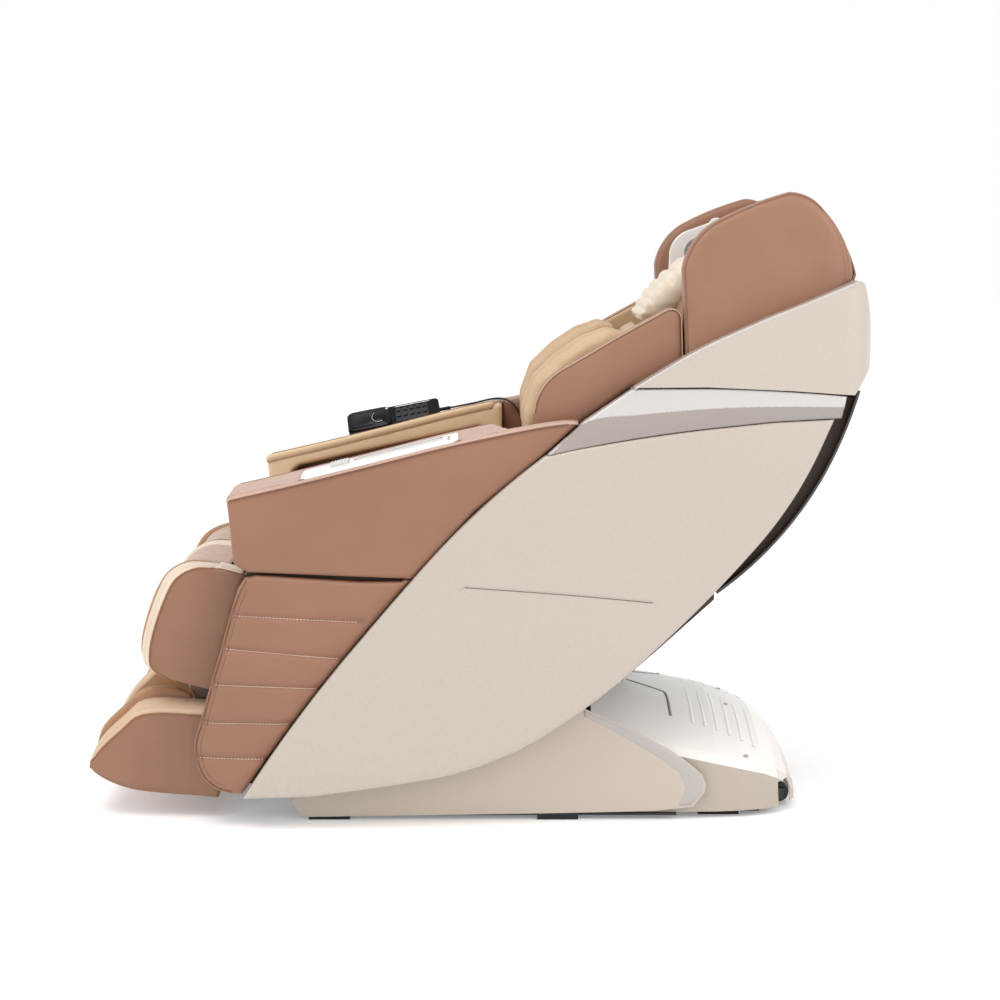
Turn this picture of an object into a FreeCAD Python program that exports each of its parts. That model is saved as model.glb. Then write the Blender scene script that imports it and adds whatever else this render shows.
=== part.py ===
# Full-body massage chair, in millimetres.
# +X is the sitter's left, -Y the front where the feet go, +Z up.
# The origin lies on the floor under the middle of the chair.
import FreeCAD, Part
import math
import os
import Sketcher
from FreeCAD import Placement, Rotation, Vector

doc = FreeCAD.newDocument("MassageChair")
sheet = doc.addObject("Spreadsheet::Sheet", "Sizes")

# Driving dimensions: alias, value, meaning
SIZES = [
    ("overall_length", 1500, "front of the foot unit to back of the head shell"),
    ("overall_width", 780, "over the side shells"),
    ("overall_height", 1213, "floor to top of the hood"),
    ("play", 0.3, "gap between pieces that rest on each other"),
    ("seam", 1.5, "gap between neighbouring outer panels"),
    ("frame_set_in", 41, "side frame's outer face inside the shell's outer face"),
    ("frame_plate", 15, "thickness of the plywood side frame"),
    ("shell_wall", 3.5, "moulded wall of the side shell"),
    ("armrest_set_in", 12, "armrest's outer face inside the shell's outer face"),
    ("armrest_width", 130, "armrest across"),
    ("channel_depth", 98, "forearm channel into the armrest"),
    ("apron_set_in", 12, "apron's outer face inside the shell's outer face"),
    ("quilt_depth", 4, "how far a stitched row is drawn in"),
    ("guard_thickness", 41, "shoulder guard across"),
    ("hood_half_width", 348.5, "hood's outer face from the middle"),
    ("hood_wall", 50, "thickness of the hood's wings"),
    ("head_shell_wall", 4, "moulded wall of the head shell"),
    ("back_cover_wall", 4, "moulded wall of the back cover"),
    ("seat_board_thickness", 12, "plywood under the seat"),
    ("back_board_thickness", 10, "plywood beside the rollers"),
    ("back_cushion_thickness", 30, "leather and foam over the rollers"),
    ("leg_unit_half_width", 300, "calf and foot units from the middle"),
    ("leg_wall", 55, "outer wall of a calf or foot well"),
    ("leg_middle", 64, "wall between the two wells"),
    ("recline_shaft_radius", 10, "shaft that the body tilts on"),
    ("knee_pin_radius", 8, "pin of the leg rest hinge"),
    ("running_gap", 0.05, "radial clearance of a pin in its bore"),
    ("roller_radius", 28, "massage roller"),
    ("roller_width", 26, "massage roller across"),
    ("roller_pin_radius", 5, "axle of a massage roller"),
    ("track_gauge", 100, "roller track's inner face from the middle"),
    ("track_width", 18, "roller track across"),
    ("track_depth", 28, "roller track from front to back"),
    ("base_half_width", 310, "base side cover's outer face from the middle"),
    ("base_cover_wall", 4, "base covers' wall"),
    ("base_plate", 4, "steel floor plate of the base"),
    ("foot_pad_height", 9, "rubber foot pads"),
    ("wheel_radius", 19, "transport wheel"),
    ("wheel_width", 18, "transport wheel across"),
    ("axle_radius", 4, "transport wheel's axle"),
    ("tube_radius", 15, "steel cross tubes"),
    ("actuator_pin_radius", 6, "actuator pins"),
    ("foot_rod_radius", 9, "guide rods of the foot unit"),
    ("handset_length", 208, "remote control"),
    ("handset_width", 58, "remote control"),
    ("handset_thickness", 18, "remote control"),
    ("cord_diameter", 4.5, "remote control's cord"),
]
for row, (alias, value, meaning) in enumerate(SIZES, start=1):
    sheet.set(f"A{row}", meaning)
    sheet.set(f"B{row}", str(value))
    sheet.setAlias(f"B{row}", alias)
doc.recompute()


def size(alias):
    return float(sheet.get(alias))


# The side view was laid out on a chair of this length and height
DRAWN_LENGTH = 1500
DRAWN_HEIGHT = 1213
LONG = size("overall_length") / DRAWN_LENGTH
TALL = size("overall_height") / DRAWN_HEIGHT

HALF = size("overall_width") / 2
PLAY = size("play")
SEAM = size("seam")
FRAME_OUT = HALF - size("frame_set_in")
FRAME_IN = FRAME_OUT - size("frame_plate")
LEFT = 1
RIGHT = -1
SIDES = [("left", LEFT), ("right", RIGHT)]
NODES = []


# Side-view outlines: a point ends a straight run, and via() marks the middle of an arc
def at(y, z):
    return (y * LONG, z * TALL)


def via(y, z):
    return (y * LONG, z * TALL, "via")


def moved(point, dy, dz):
    return (point[0] + dy, point[1] + dz) + tuple(point[2:])


def inset(path, distance):
    # Each point of a closed outline moved inwards by the distance
    count = len(path)
    area = 0
    for i in range(count):
        a, b = path[i], path[(i + 1) % count]
        area += a[0] * b[1] - b[0] * a[1]
    turn = 1 if area > 0 else -1
    result = []
    for i in range(count):
        before, here, after = path[i - 1], path[i], path[(i + 1) % count]
        result.append(corner(before, here, after, distance * turn) + tuple(here[2:]))
    return result


def corner(before, here, after, distance):
    # Where the two neighbouring runs meet once both are shifted to their left
    first = unit(here[0] - before[0], here[1] - before[1])
    second = unit(after[0] - here[0], after[1] - here[1])
    normal_a = (-first[1], first[0])
    normal_b = (-second[1], second[0])
    spread = 1 + normal_a[0] * normal_b[0] + normal_a[1] * normal_b[1]
    reach = distance / max(spread, 0.5)
    return (
        here[0] + (normal_a[0] + normal_b[0]) * reach,
        here[1] + (normal_a[1] + normal_b[1]) * reach,
    )


def unit(dy, dz):
    length = math.hypot(dy, dz)
    return (dy / length, dz / length)


def segments(path, place):
    # Lines and arcs of a closed outline, each point put in space by place()
    first_end = next(i for i, p in enumerate(path) if len(p) == 2)
    path = path[first_end:] + path[:first_end] + [path[first_end]]
    pieces = []
    here = path[0]
    middle = None
    for point in path[1:]:
        if len(point) == 3:
            middle = point
            continue
        if middle is None:
            pieces.append(Part.LineSegment(place(*here[:2]), place(*point[:2])))
        else:
            pieces.append(Part.Arc(place(*here[:2]), place(*middle[:2]), place(*point[:2])))
        here = point
        middle = None
    return pieces


def flat(u, v):
    return Vector(u, v, 0)


def side(x):
    return lambda y, z: Vector(x, y, z)


def side_face(path, x):
    edges = [piece.toShape() for piece in segments(path, side(x))]
    return Part.Face(Part.Wire(edges))


def side_slab(path, x_from, x_to):
    return side_face(path, x_from).extrude(Vector(x_to - x_from, 0, 0))


def plan_slab(path, z_from, z_to):
    edges = [piece.toShape() for piece in segments(path, lambda x, y: Vector(x, y, z_from))]
    return Part.Face(Part.Wire(edges)).extrude(Vector(0, 0, z_to - z_from))


# Document objects
def keep(thing, label):
    thing.Label = label
    NODES.append(thing)
    return thing


def new_body(label, node=True):
    body = doc.addObject("PartDesign::Body", label)
    if node:
        keep(body, label)
    return body


def sketch_on(body, role, name, path=None, offset=0):
    plane = next(f for f in body.Origin.OriginFeatures if f.Role == role)
    sketch = body.newObject("Sketcher::SketchObject", name)
    sketch.AttachmentSupport = [(plane, "")]
    sketch.MapMode = "FlatFace"
    sketch.AttachmentOffset = Placement(Vector(0, 0, offset), Rotation())
    if path:
        draw(sketch, path)
    return sketch


def draw(sketch, path):
    # Block constraints hold each line and arc where the outline puts it
    for piece in segments(path, flat):
        index = sketch.addGeometry(piece)
        sketch.addConstraint(Sketcher.Constraint("Block", index))


def draw_circle(sketch, centre, radius_expression):
    index = sketch.addGeometry(Part.Circle(Vector(centre[0], centre[1], 0), Vector(0, 0, 1), 1))
    sketch.addConstraint(Sketcher.Constraint("DistanceX", -1, 1, index, 3, centre[0]))
    sketch.addConstraint(Sketcher.Constraint("DistanceY", -1, 1, index, 3, centre[1]))
    ring = sketch.addConstraint(Sketcher.Constraint("Radius", index, 1))
    sketch.setExpression(f"Constraints[{ring}]", radius_expression)
    return index


def pad(body, sketch, length, backwards=False, both_ways=False):
    feature = body.newObject("PartDesign::Pad", "Pad")
    feature.Profile = sketch
    feature.setExpression("Length", length)
    feature.Reversed = backwards
    if both_ways:
        feature.SideType = "Symmetric"
    doc.recompute()
    return feature


def pocket(body, sketch, length, backwards=False, both_ways=False):
    before = body.Shape.Volume
    feature = body.newObject("PartDesign::Pocket", "Pocket")
    feature.Profile = sketch
    feature.setExpression("Length", length)
    feature.Reversed = backwards
    if both_ways:
        feature.SideType = "Symmetric"
    doc.recompute()
    if body.Shape.Volume >= before - 1:
        raise RuntimeError(f"{body.Label}: a pocket cuts nothing")
    return feature


def place_x(thing, expression):
    thing.setExpression("Placement.Base.x", expression)


def form(label, shape, placement=None):
    thing = doc.addObject("Part::Feature", label)
    thing.Shape = shape
    if placement:
        thing.Placement = placement
    return keep(thing, label)


def group(label, members):
    compound = doc.addObject("Part::Compound", label)
    compound.Links = members
    return keep(compound, label)


def box(name, width, length, height, corner_point):
    block = doc.addObject("Part::Box", name)
    for key, value in zip(("Length", "Width", "Height"), (width, length, height)):
        if isinstance(value, str):
            block.setExpression(key, value)
        else:
            setattr(block, key, value)
    block.Placement.Base = Vector(*corner_point)
    return block


def rod_x(name, radius, x_from, x_to, centre):
    rod = doc.addObject("Part::Cylinder", name)
    if isinstance(radius, str):
        rod.setExpression("Radius", radius)
    else:
        rod.Radius = radius
    rod.Height = x_to - x_from
    rod.Placement = Placement(Vector(x_from, *centre), Rotation(Vector(0, 1, 0), 90))
    return rod


def fused(name, members):
    joined = doc.addObject("Part::MultiFuse", name)
    joined.Shapes = members
    return joined


def cut(name, base, tool):
    difference = doc.addObject("Part::Cut", name)
    difference.Base = base
    difference.Tool = tool
    return difference


def tube_between(start, end, radius):
    axis = end - start
    return Part.makeCylinder(radius, axis.Length, start, axis)


def loft(wires):
    return Part.makeLoft(wires, True, True)


def crowned(centre, across, up, width, height, crown, bulge):
    # Section of a cushion: flat base, bowed sides and a bowed top
    a = centre - across * (width / 2)
    b = centre + across * (width / 2)
    c = b + up * height
    d = a + up * height
    waist = up * (height / 2)
    return Part.Wire([
        Part.LineSegment(a, b).toShape(),
        Part.Arc(b, b + waist + across * bulge, c).toShape(),
        Part.Arc(c, (c + d) / 2 + up * crown, d).toShape(),
        Part.Arc(d, a + waist - across * bulge, a).toShape(),
    ])


def rows(count, steps):
    # Stations along a quilted cushion: position from 0 to 1 and fullness from 0 at a row to 1
    stations = []
    for i in range(count * steps + 1):
        phase = (i % steps) / steps
        stations.append((i / (count * steps), math.sin(math.pi * phase)))
    return stations


X_AXIS = Vector(1, 0, 0)

# Outlines of the side view
SHELL_FRONT = [at(-437, 65), via(-330, 221), at(-209, 373), at(-109, 490), at(8, 618), at(140, 725)]
SHELL_TOP = [via(317, 757), at(441, 774), at(565, 787), at(677, 793)]
SHELL_REAR = [
    at(660, 754), via(625, 680), at(542, 558), via(440, 445), at(344, 350), via(220, 244), at(131, 183),
    via(17, 129), at(-97, 100), via(-212, 82), at(-309, 69),
]
SHELL = SHELL_FRONT + SHELL_TOP + SHELL_REAR
STRIPE = [
    at(140, 725), at(212, 789), at(301, 849), at(440, 850), via(600, 844), at(699, 836), at(690, 797),
    at(565, 790), at(441, 777), via(317, 760),
]
ARMREST = [
    at(-454, 645), at(-326, 674), at(-39, 746), at(123, 780), at(189, 792), at(208, 789), at(138.5, 726.8),
    at(6.4, 619.5), at(-113, 488.5), at(-126, 490), at(-420, 502), at(-436, 512), at(-443, 519),
]
APRON_FRONT = [
    (498, -430), (481, -441), (423, -456), (352, -476), (287, -496), (217, -516), (179, -529), (154, -531),
    (124, -526), (96, -512), (77, -488), (68, -459),
]
GUARD = [
    at(117, 700), at(117, 799), at(121, 821), via(144, 861), at(174, 885), at(266, 939), at(365, 993),
    via(387, 994), at(397, 976), at(402, 853), at(303, 847), at(214, 784), at(150, 726),
]
HOOD = [
    at(405, 845), at(403, 911), at(395, 1070), via(420, 1131), at(502, 1178), at(548, 1198), via(597, 1213),
    at(650, 1184), via(690, 1128), at(714, 1059), at(712, 831.4), at(694, 831.4), via(600, 839.4),
    at(440, 845.4),
]
HEAD_SHELL = [
    at(303, 852), via(349, 880), at(400, 911), at(450, 937), at(547, 980), at(620, 1009), at(710, 1047),
    via(724, 1047), at(731, 1036), via(744, 985), at(750, 907), at(745, 886), at(714, 838), at(600, 846),
    at(440, 853),
]
BACK_COVER = [at(726, 845), via(703, 775), at(676, 712), via(598, 588), at(465, 461)]
SEAT_TOP = (at(-398, 484), at(-25, 444))

# Pivots of the side view
RECLINE = at(150, 235)
KNEE = at(-462, 478)
RECLINE_LOW = at(-48, 128)
RECLINE_HIGH = at(-60, 323)
LEG_REAR = at(-150, 315)
LEG_FRONT = at(-445, 395)

# The back's front surface runs up from its foot along the rise
BACK_FOOT = Vector(0, *at(-2, 490))
BACK_HEAD = Vector(0, *at(330, 957))
RISE = (BACK_HEAD - BACK_FOOT).normalize()
INTO_BACK = Vector(0, RISE.z, -RISE.y)
BACK_LENGTH = (BACK_HEAD - BACK_FOOT).Length


def on_back(along, depth, x=0):
    return BACK_FOOT + RISE * along + INTO_BACK * depth + X_AXIS * x


def back_point(along, depth):
    point = on_back(along, depth)
    return (point.y, point.z)


# Plywood side frames carry the shells, armrests, aprons and guards
def frame_outline():
    top = [at(-424, 501.5), at(-126, 489.5), at(-110, 487.6), at(12, 611), at(143, 720), at(216, 784),
           at(303, 843), at(440, 845), via(600, 839), at(694, 831), at(736, 831)]
    under = [at(724, 740), at(560, 500), at(463, 447), at(352, 345), at(289, 289), at(262, 283),
             at(196, 244), at(124, 200), via(12, 146), at(-97, 117), via(-212, 99), at(-309, 86), at(-440, 86)]
    front = [at(-490, 100), at(-514, 130), at(-516, 170), at(-484, 287), at(-464, 352), at(-444, 423)]
    return top + under + front


def behind_cover():
    # Everything behind the inner face of the back cover
    inner = inset(BACK_COVER + [at(300, 800)], size("back_cover_wall") + PLAY)[:5]
    return inner + [at(462, 458.5), at(462, 400), at(800, 400), at(800, 900)]


def side_frame(name, hand):
    body = new_body(f"side_frame_{name}")
    place_x(body, f"{hand} * (Sizes.overall_width / 2 - Sizes.frame_set_in - Sizes.frame_plate)")
    pad(body, sketch_on(body, "YZ_Plane", "Outline", frame_outline()), "Sizes.frame_plate", hand < 0)
    holes = sketch_on(body, "YZ_Plane", "Holes")
    draw_circle(holes, RECLINE, "Sizes.recline_shaft_radius + Sizes.running_gap")
    pocket(body, holes, "Sizes.frame_plate", hand > 0)
    pocket(body, sketch_on(body, "YZ_Plane", "BehindCover", behind_cover()), "Sizes.frame_plate", hand > 0)


# Moulded side shells: a thin wall with a rim that reaches in to the frame
def tray(label, path, hand):
    body = new_body(label)
    place_x(body, f"{hand} * (Sizes.overall_width / 2 - Sizes.frame_set_in + Sizes.play)")
    depth = "Sizes.frame_set_in - Sizes.play"
    pad(body, sketch_on(body, "YZ_Plane", "Outline", path), depth, hand < 0)
    hollow = sketch_on(body, "YZ_Plane", "Hollow", inset(path, size("shell_wall")))
    pocket(body, hollow, f"{depth} - Sizes.shell_wall", hand > 0)
    return body


# Armrest: a padded box with a channel for the forearm, open towards the sitter
SLOPE = math.atan2(at(-39, 746)[1] - at(-326, 674)[1], at(-39, 746)[0] - at(-326, 674)[0])
CHANNEL_TOP = 45
CHANNEL_HIGH = 92


def armrest_top(y):
    front, rear = at(-326, 674), at(-39, 746)
    return front[1] + (y - front[0]) * math.tan(SLOPE)


def channel_path():
    y_front, y_rear = -400 * LONG, 20 * LONG
    top_f = armrest_top(y_front) - CHANNEL_TOP
    top_r = armrest_top(y_rear) - CHANNEL_TOP
    floor_f = max(top_f - CHANNEL_HIGH, at(0, 522)[1])
    return [
        (y_front, top_f), (y_rear, top_r), (y_rear, top_r - CHANNEL_HIGH + 44),
        (y_rear - 60, top_r - CHANNEL_HIGH),
        (-160 * LONG, floor_f + 8), (y_front, floor_f),
    ]


def armrest(name, hand):
    body = new_body(f"armrest_{name}")
    place_x(body, f"{hand} * (Sizes.overall_width / 2 - Sizes.armrest_set_in)")
    pad(body, sketch_on(body, "YZ_Plane", "Outline", ARMREST), "Sizes.armrest_width", hand > 0)
    inner = -hand * size("armrest_width")
    channel = sketch_on(body, "YZ_Plane", "Channel", channel_path(), inner)
    pocket(body, channel, "Sizes.channel_depth", hand > 0)
    tail = [at(62, 820), at(240, 820), at(240, 560), at(62, 560)]
    notch = sketch_on(body, "YZ_Plane", "RearNotch", tail, inner)
    pocket(body, notch, "Sizes.armrest_width - Sizes.frame_set_in + Sizes.armrest_set_in", hand > 0)
    return body


# Insert on the left armrest
PANEL_IN = 56
PANEL_WIDE = 62
PANEL_THICK = 6
PANEL_REST = 5


def panel_path(low, high, y_from, y_to):
    lean = Vector(0, -math.sin(SLOPE), math.cos(SLOPE))
    points = []
    for y, height in ((y_from, low), (y_to, low), (y_to, high), (y_from, high)):
        points.append((y + lean.y * height, armrest_top(y) + lean.z * height))
    return points


def arm_panel():
    y_from, y_to = -318 * LONG, -24 * LONG
    rest = doc.getObject("armrest_left")
    recess_path = panel_path(-PANEL_REST, 30, y_from - 1, y_to + 1)
    recess = sketch_on(rest, "YZ_Plane", "PanelRecess", recess_path, PANEL_IN + 1 - size("armrest_width"))
    pocket(rest, recess, str(PANEL_WIDE + 2), True)
    body = new_body("arm_panel_left")
    x = HALF - size("armrest_set_in") - size("armrest_width") + PANEL_IN + 2
    body.Placement.Base.x = x
    low = PLAY - PANEL_REST
    pad(body, sketch_on(body, "YZ_Plane", "Outline", panel_path(low, low + PANEL_THICK, y_from, y_to)),
        str(PANEL_WIDE))
    groove_path = panel_path(low + PANEL_THICK - 1.5, low + PANEL_THICK + 5, y_from + 70, y_to - 24)
    groove = sketch_on(body, "YZ_Plane", "Slot", groove_path, 24)
    pocket(body, groove, "10", True)


# Quilted apron below the armrest, drawn in at its stitched rows
def apron(name, hand):
    inner = FRAME_OUT + PLAY
    outer = HALF - size("apron_set_in") - size("quilt_depth")
    wires = []
    stations = 24
    quilts = 6
    for i in range(stations + 1):
        drop = i / stations
        z = 497 - drop * (497 - 70)
        front = front_of_apron(z) * LONG
        rear = front_edge_of_shell((z - 10 * (1 - drop)) * TALL) - SEAM * 1.4
        fullness = abs(math.sin(math.pi * drop * quilts))
        x_out = outer + size("quilt_depth") * fullness
        low, high = (front, z * TALL), (rear, (z - 10 * (1 - drop)) * TALL)
        wires.append(apron_section(low, high, inner, x_out, hand))
    return form(f"side_apron_{name}", loft(wires))


def front_of_apron(z):
    for (z_high, y_high), (z_low, y_low) in zip(APRON_FRONT, APRON_FRONT[1:]):
        if z >= z_low:
            share = (z_high - z) / (z_high - z_low)
            return y_high + (y_low - y_high) * share
    return APRON_FRONT[-1][1]


def front_edge_of_shell(z):
    # The shell's front edge where it passes the given height: an arc, then a straight run
    low, middle, high, end = (point[:2] for point in SHELL_FRONT[:4])
    if z <= high[1]:
        circle = Part.Arc(flat(*low), flat(*middle), flat(*high)).toShape().Curve
        centre, radius = circle.Center, circle.Radius
        way = 1 if middle[0] > centre.x else -1
        return centre.x + way * math.sqrt(radius ** 2 - (z - centre.y) ** 2)
    return high[0] + (end[0] - high[0]) * (z - high[1]) / (end[1] - high[1])


def apron_section(front, rear, x_in, x_out, hand):
    a = Vector(hand * x_in, *rear)
    b = Vector(hand * x_in, *front)
    c = Vector(hand * (x_out - 6), *front)
    d = Vector(hand * x_out, *rear)
    run = (b - a).normalize()
    nose = Vector(hand * x_out, *front) - run * 8
    return Part.Wire([
        Part.LineSegment(a, b).toShape(),
        Part.LineSegment(b, c).toShape(),
        Part.Arc(c, (c + nose) / 2 + Vector(hand * 1.2, 0, 0) + run * 1.2, nose).toShape(),
        Part.LineSegment(nose, d).toShape(),
        Part.LineSegment(d, a).toShape(),
    ])


# Shoulder guard: a padded side wing with a rounded inner face
def guard(name, hand):
    outer = FRAME_IN - PLAY
    inner = outer - size("guard_thickness")
    crown = 5
    slab = side_slab(GUARD, hand * (inner + crown), hand * outer)
    raised = side_slab(inset(GUARD, 9), hand * inner, hand * (inner + crown))
    return form(f"shoulder_guard_{name}", slab.fuse(raised).removeSplitter())


# Shoulder airbags: ribbed wings in front of the back cushion
AIRBAG_IN = 104
AIRBAG_OUT = 262
AIRBAG_SINK = 1.2
AIRBAG_EDGE = [(112, 700, 20), (100, 745, 44), (98, 800, 66), (120, 862, 80), (165, 905, 84), (215, 938, 82),
               (262, 954, 70), (292, 946, 40), (300, 930, 20)]


def shoulder_airbag(name, hand):
    wires = []
    last = len(AIRBAG_EDGE) - 1
    for i, (y, z, lift) in enumerate(AIRBAG_EDGE):
        share = i / last
        foot = on_back(BACK_LENGTH * (0.40 + 0.53 * share), AIRBAG_SINK)
        crest = Vector(0, *at(y, z))
        wires.append(airbag_section(foot, crest, hand))
    return form(f"shoulder_airbag_{name}", loft(wires))


def airbag_section(foot, crest, hand):
    # Three ribs across, the outer two standing a little lower than the middle one
    up = crest - foot
    x0, x3 = hand * AIRBAG_IN, hand * AIRBAG_OUT
    third = (x3 - x0) / 3
    top = [Vector(x0 + third * k, 0, 0) + foot + up * (0.95 if k in (0, 3) else 0.97) for k in range(4)]
    edges = [Part.LineSegment(Vector(x3, 0, 0) + foot, Vector(x0, 0, 0) + foot).toShape()]
    edges.append(Part.LineSegment(Vector(x0, 0, 0) + foot, top[0]).toShape())
    for a, b in zip(top, top[1:]):
        edges.append(Part.Arc(a, (a + b) / 2 + up * 0.045, b).toShape())
    edges.append(Part.LineSegment(top[3], Vector(x3, 0, 0) + foot).toShape())
    return Part.Wire(edges)


# Seat and back cushions
def seat_cushion():
    front, rear = (Vector(0, *point) for point in SEAT_TOP)
    run = (rear - front).normalize()
    up = Vector(0, -run.z, run.y)
    wires = []
    thickness = 44
    for share, fullness in rows(5, 4):
        end = min(share, 1 - share)
        height = thickness - 6 + 4 * fullness - 8 * max(0, 1 - end / 0.06)
        base = front + (rear - front) * share - up * thickness
        wires.append(crowned(base, X_AXIS, up, 2 * (FRAME_IN - 6), height, 2, 3))
    form("seat_cushion", loft(wires))


def back_cushion():
    thick = size("back_cushion_thickness")
    wires = []
    for share, fullness in rows(7, 4):
        end = min(share, 1 - share)
        height = thick - 9 + 4 * fullness - 6 * max(0, 1 - end / 0.05)
        base = on_back(BACK_LENGTH * share, thick)
        wires.append(crowned(base, X_AXIS, INTO_BACK * -1, 490, height, 4, 3))
    form("back_cushion", loft(wires))


def boards():
    front, rear = at(-398, 484), at(-25, 444)
    thickness = 44 + PLAY
    under = [moved(rear, 0, -thickness), moved(front, 0, -thickness)]
    deep = size("seat_board_thickness")
    seat = doc.addObject("PartDesign::Body", "seat_board")
    path = under + [moved(under[1], 0, -deep), moved(under[0], 0, -deep)]
    pad(seat, sketch_on(seat, "YZ_Plane", "Outline", path), "2 * (Sizes.overall_width / 2 - Sizes.frame_set_in"
        " - Sizes.frame_plate - Sizes.play)", both_ways=True)
    members = [seat]
    depth = size("back_cushion_thickness") + PLAY
    for name, hand in SIDES:
        board = doc.addObject("PartDesign::Body", f"back_board_{name}")
        strip = [back_point(24, depth), back_point(BACK_LENGTH - 6, depth),
                 back_point(BACK_LENGTH - 6, depth + size("back_board_thickness")),
                 back_point(24, depth + size("back_board_thickness"))]
        board.Placement.Base.x = hand * BOARD_IN
        outline = sketch_on(board, "YZ_Plane", "Outline", strip)
        wide = ("Sizes.overall_width / 2 - Sizes.frame_set_in - Sizes.frame_plate"
                f" - 2 * Sizes.play - Sizes.guard_thickness - {BOARD_IN}")
        pad(board, outline, wide, hand < 0)
        members.append(board)
    group("cushion_boards", members)


BOARD_IN = 124


# Hood with two wings and a padded wall behind the head
HEAD_SPACE = [
    at(380, 840), at(396, 960), via(430, 1030), at(480, 1090), at(560, 1160), at(640, 1230), at(380, 1230),
]


def hood():
    body = new_body("head_hood")
    pad(body, sketch_on(body, "YZ_Plane", "Outline", HOOD), "2 * Sizes.hood_half_width", both_ways=True)
    space = sketch_on(body, "YZ_Plane", "HeadSpace", HEAD_SPACE)
    pocket(body, space, "2 * (Sizes.hood_half_width - Sizes.hood_wall)", both_ways=True)
    inside = [at(440, 830), at(440, 950), at(520, 1060), at(600, 1120), at(650, 1080), at(672, 1000),
              at(672, 830)]
    hollow = sketch_on(body, "YZ_Plane", "Hollow", inside)
    pocket(body, hollow, "2 * (Sizes.hood_half_width - Sizes.hood_wall) - 40", both_ways=True)
    corners = sketch_on(body, "XY_Plane", "Corners")
    wide = size("hood_half_width")
    rear = 714 * LONG
    r = HOOD_CORNER
    slant = r * (1 - math.sqrt(0.5))
    for hand in (LEFT, RIGHT):
        draw(corners, [
            (hand * (wide + 20), rear - r), (hand * wide, rear - r),
            (hand * (wide - slant), rear - slant, "via"), (hand * (wide - r), rear),
            (hand * (wide - r), rear + 20), (hand * (wide + 20), rear + 20),
        ])
    pocket(body, corners, "3 * Sizes.overall_height", both_ways=True)


HOOD_CORNER = 84
HOOD_REAR_GAP = 1.1
SHELL_CORNER = 60


def plan_u(half_width, rear, corner_size):
    front = 250 * LONG
    slant = corner_size * (1 - math.sqrt(0.5))
    return [
        (-half_width, front), (half_width, front), (half_width, rear - corner_size),
        (half_width - slant, rear - slant, "via"), (half_width - corner_size, rear),
        (corner_size - half_width, rear), (slant - half_width, rear - slant, "via"),
        (-half_width, rear - corner_size),
    ]


def head_shell():
    rear = 750 * LONG
    wall = size("head_shell_wall")
    inner_half = max(size("hood_half_width"), FRAME_IN) + 2 * PLAY
    outer = plan_slab(plan_u(HALF - 2, rear, SHELL_CORNER), 700, 1200 * TALL)
    inner = plan_slab(plan_u(inner_half, at(714, 0)[0] + HOOD_REAR_GAP, HOOD_CORNER), 600, 1300 * TALL)
    pocket_plan = plan_slab(plan_u(HALF - 2 - wall, rear - wall, SHELL_CORNER - wall), 600, 1300 * TALL)
    block = side_slab(HEAD_SHELL, -HALF, HALF)
    lowered = [moved(point, 0, -wall) for point in HEAD_SHELL[:7]]
    lowered += [moved(point, -wall, -wall / 2) for point in HEAD_SHELL[7:11]]
    lowered += [moved(point, -wall, 0) for point in HEAD_SHELL[11:13]] + [at(700, 780), at(303, 780)]
    hollow = side_slab(lowered, -HALF, HALF).common(pocket_plan)
    return form("head_shell", block.common(outer).cut(inner).cut(hollow))


def speaker_panels():
    panel = [at(424, 1046), at(426, 1100), via(440, 1124), at(470, 1144), at(512, 1161), at(542, 1159),
             via(502, 1122), at(468, 1089), at(435, 1046)]
    members = []
    for name, hand in SIDES:
        body = doc.addObject("PartDesign::Body", f"speaker_panel_{name}")
        place_x(body, f"{hand} * (Sizes.hood_half_width - Sizes.hood_wall - Sizes.play)")
        pad(body, sketch_on(body, "YZ_Plane", "Outline", panel), "3", hand > 0)
        members.append(body)
    group("speaker_panels", members)


def head_pillow():
    # Stations from the lower edge up: share of the wall behind the head, front point, half width
    outline = [
        (0.0, (330, 964), 118), (0.1, (324, 978), 136), (0.28, (337, 1001), 146), (0.46, (358, 1029), 146),
        (0.62, (387, 1058), 140), (0.74, (413, 1080), 124), (0.8, (434, 1091), 104),
    ]
    low, middle, high = (flat(*point[:2]) for point in HEAD_SPACE[1:4])
    wall = Part.Arc(low, middle, high)
    wires = []
    for share, front, half_width in outline:
        point = wall.value(wall.FirstParameter + share * (wall.LastParameter - wall.FirstParameter))
        inward = (flat(*at(330, 1090)) - point).normalize() * 0.6
        foot = Vector(0, point.x + inward.x, point.y + inward.y)
        crest = Vector(0, *at(*front))
        up = crest - foot
        height = up.Length
        up.normalize()
        wires.append(crowned(foot, X_AXIS, up, 2 * half_width - 24, height - 8, 7, 8))
    form("head_pillow", loft(wires))


def back_cover():
    wall = size("back_cover_wall")
    closed = BACK_COVER + [at(300, 800)]
    inner = inset(closed, wall)
    band = BACK_COVER + list(reversed(inner[:5]))
    body = new_body("back_cover")
    pad(body, sketch_on(body, "YZ_Plane", "Outline", band), "Sizes.overall_width - 36", both_ways=True)


def underside_pan():
    body = new_body("underside_pan")
    path = [at(460, 446), at(351, 345.8), at(348.3, 348.8), at(457.3, 449)]
    pad(body, sketch_on(body, "YZ_Plane", "Outline", path), "2 * (Sizes.overall_width / 2 - Sizes.frame_set_in"
        " - Sizes.frame_plate - Sizes.play)", both_ways=True)


# Welded cross tubes with the lugs of the knee hinge and of both actuators
CROSS = [at(-370, 411), at(-150, 350), at(-60, 357)]
TRACK_IN = 115
TUBE_BEHIND = TRACK_IN + size("track_depth") + 12 + PLAY


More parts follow.
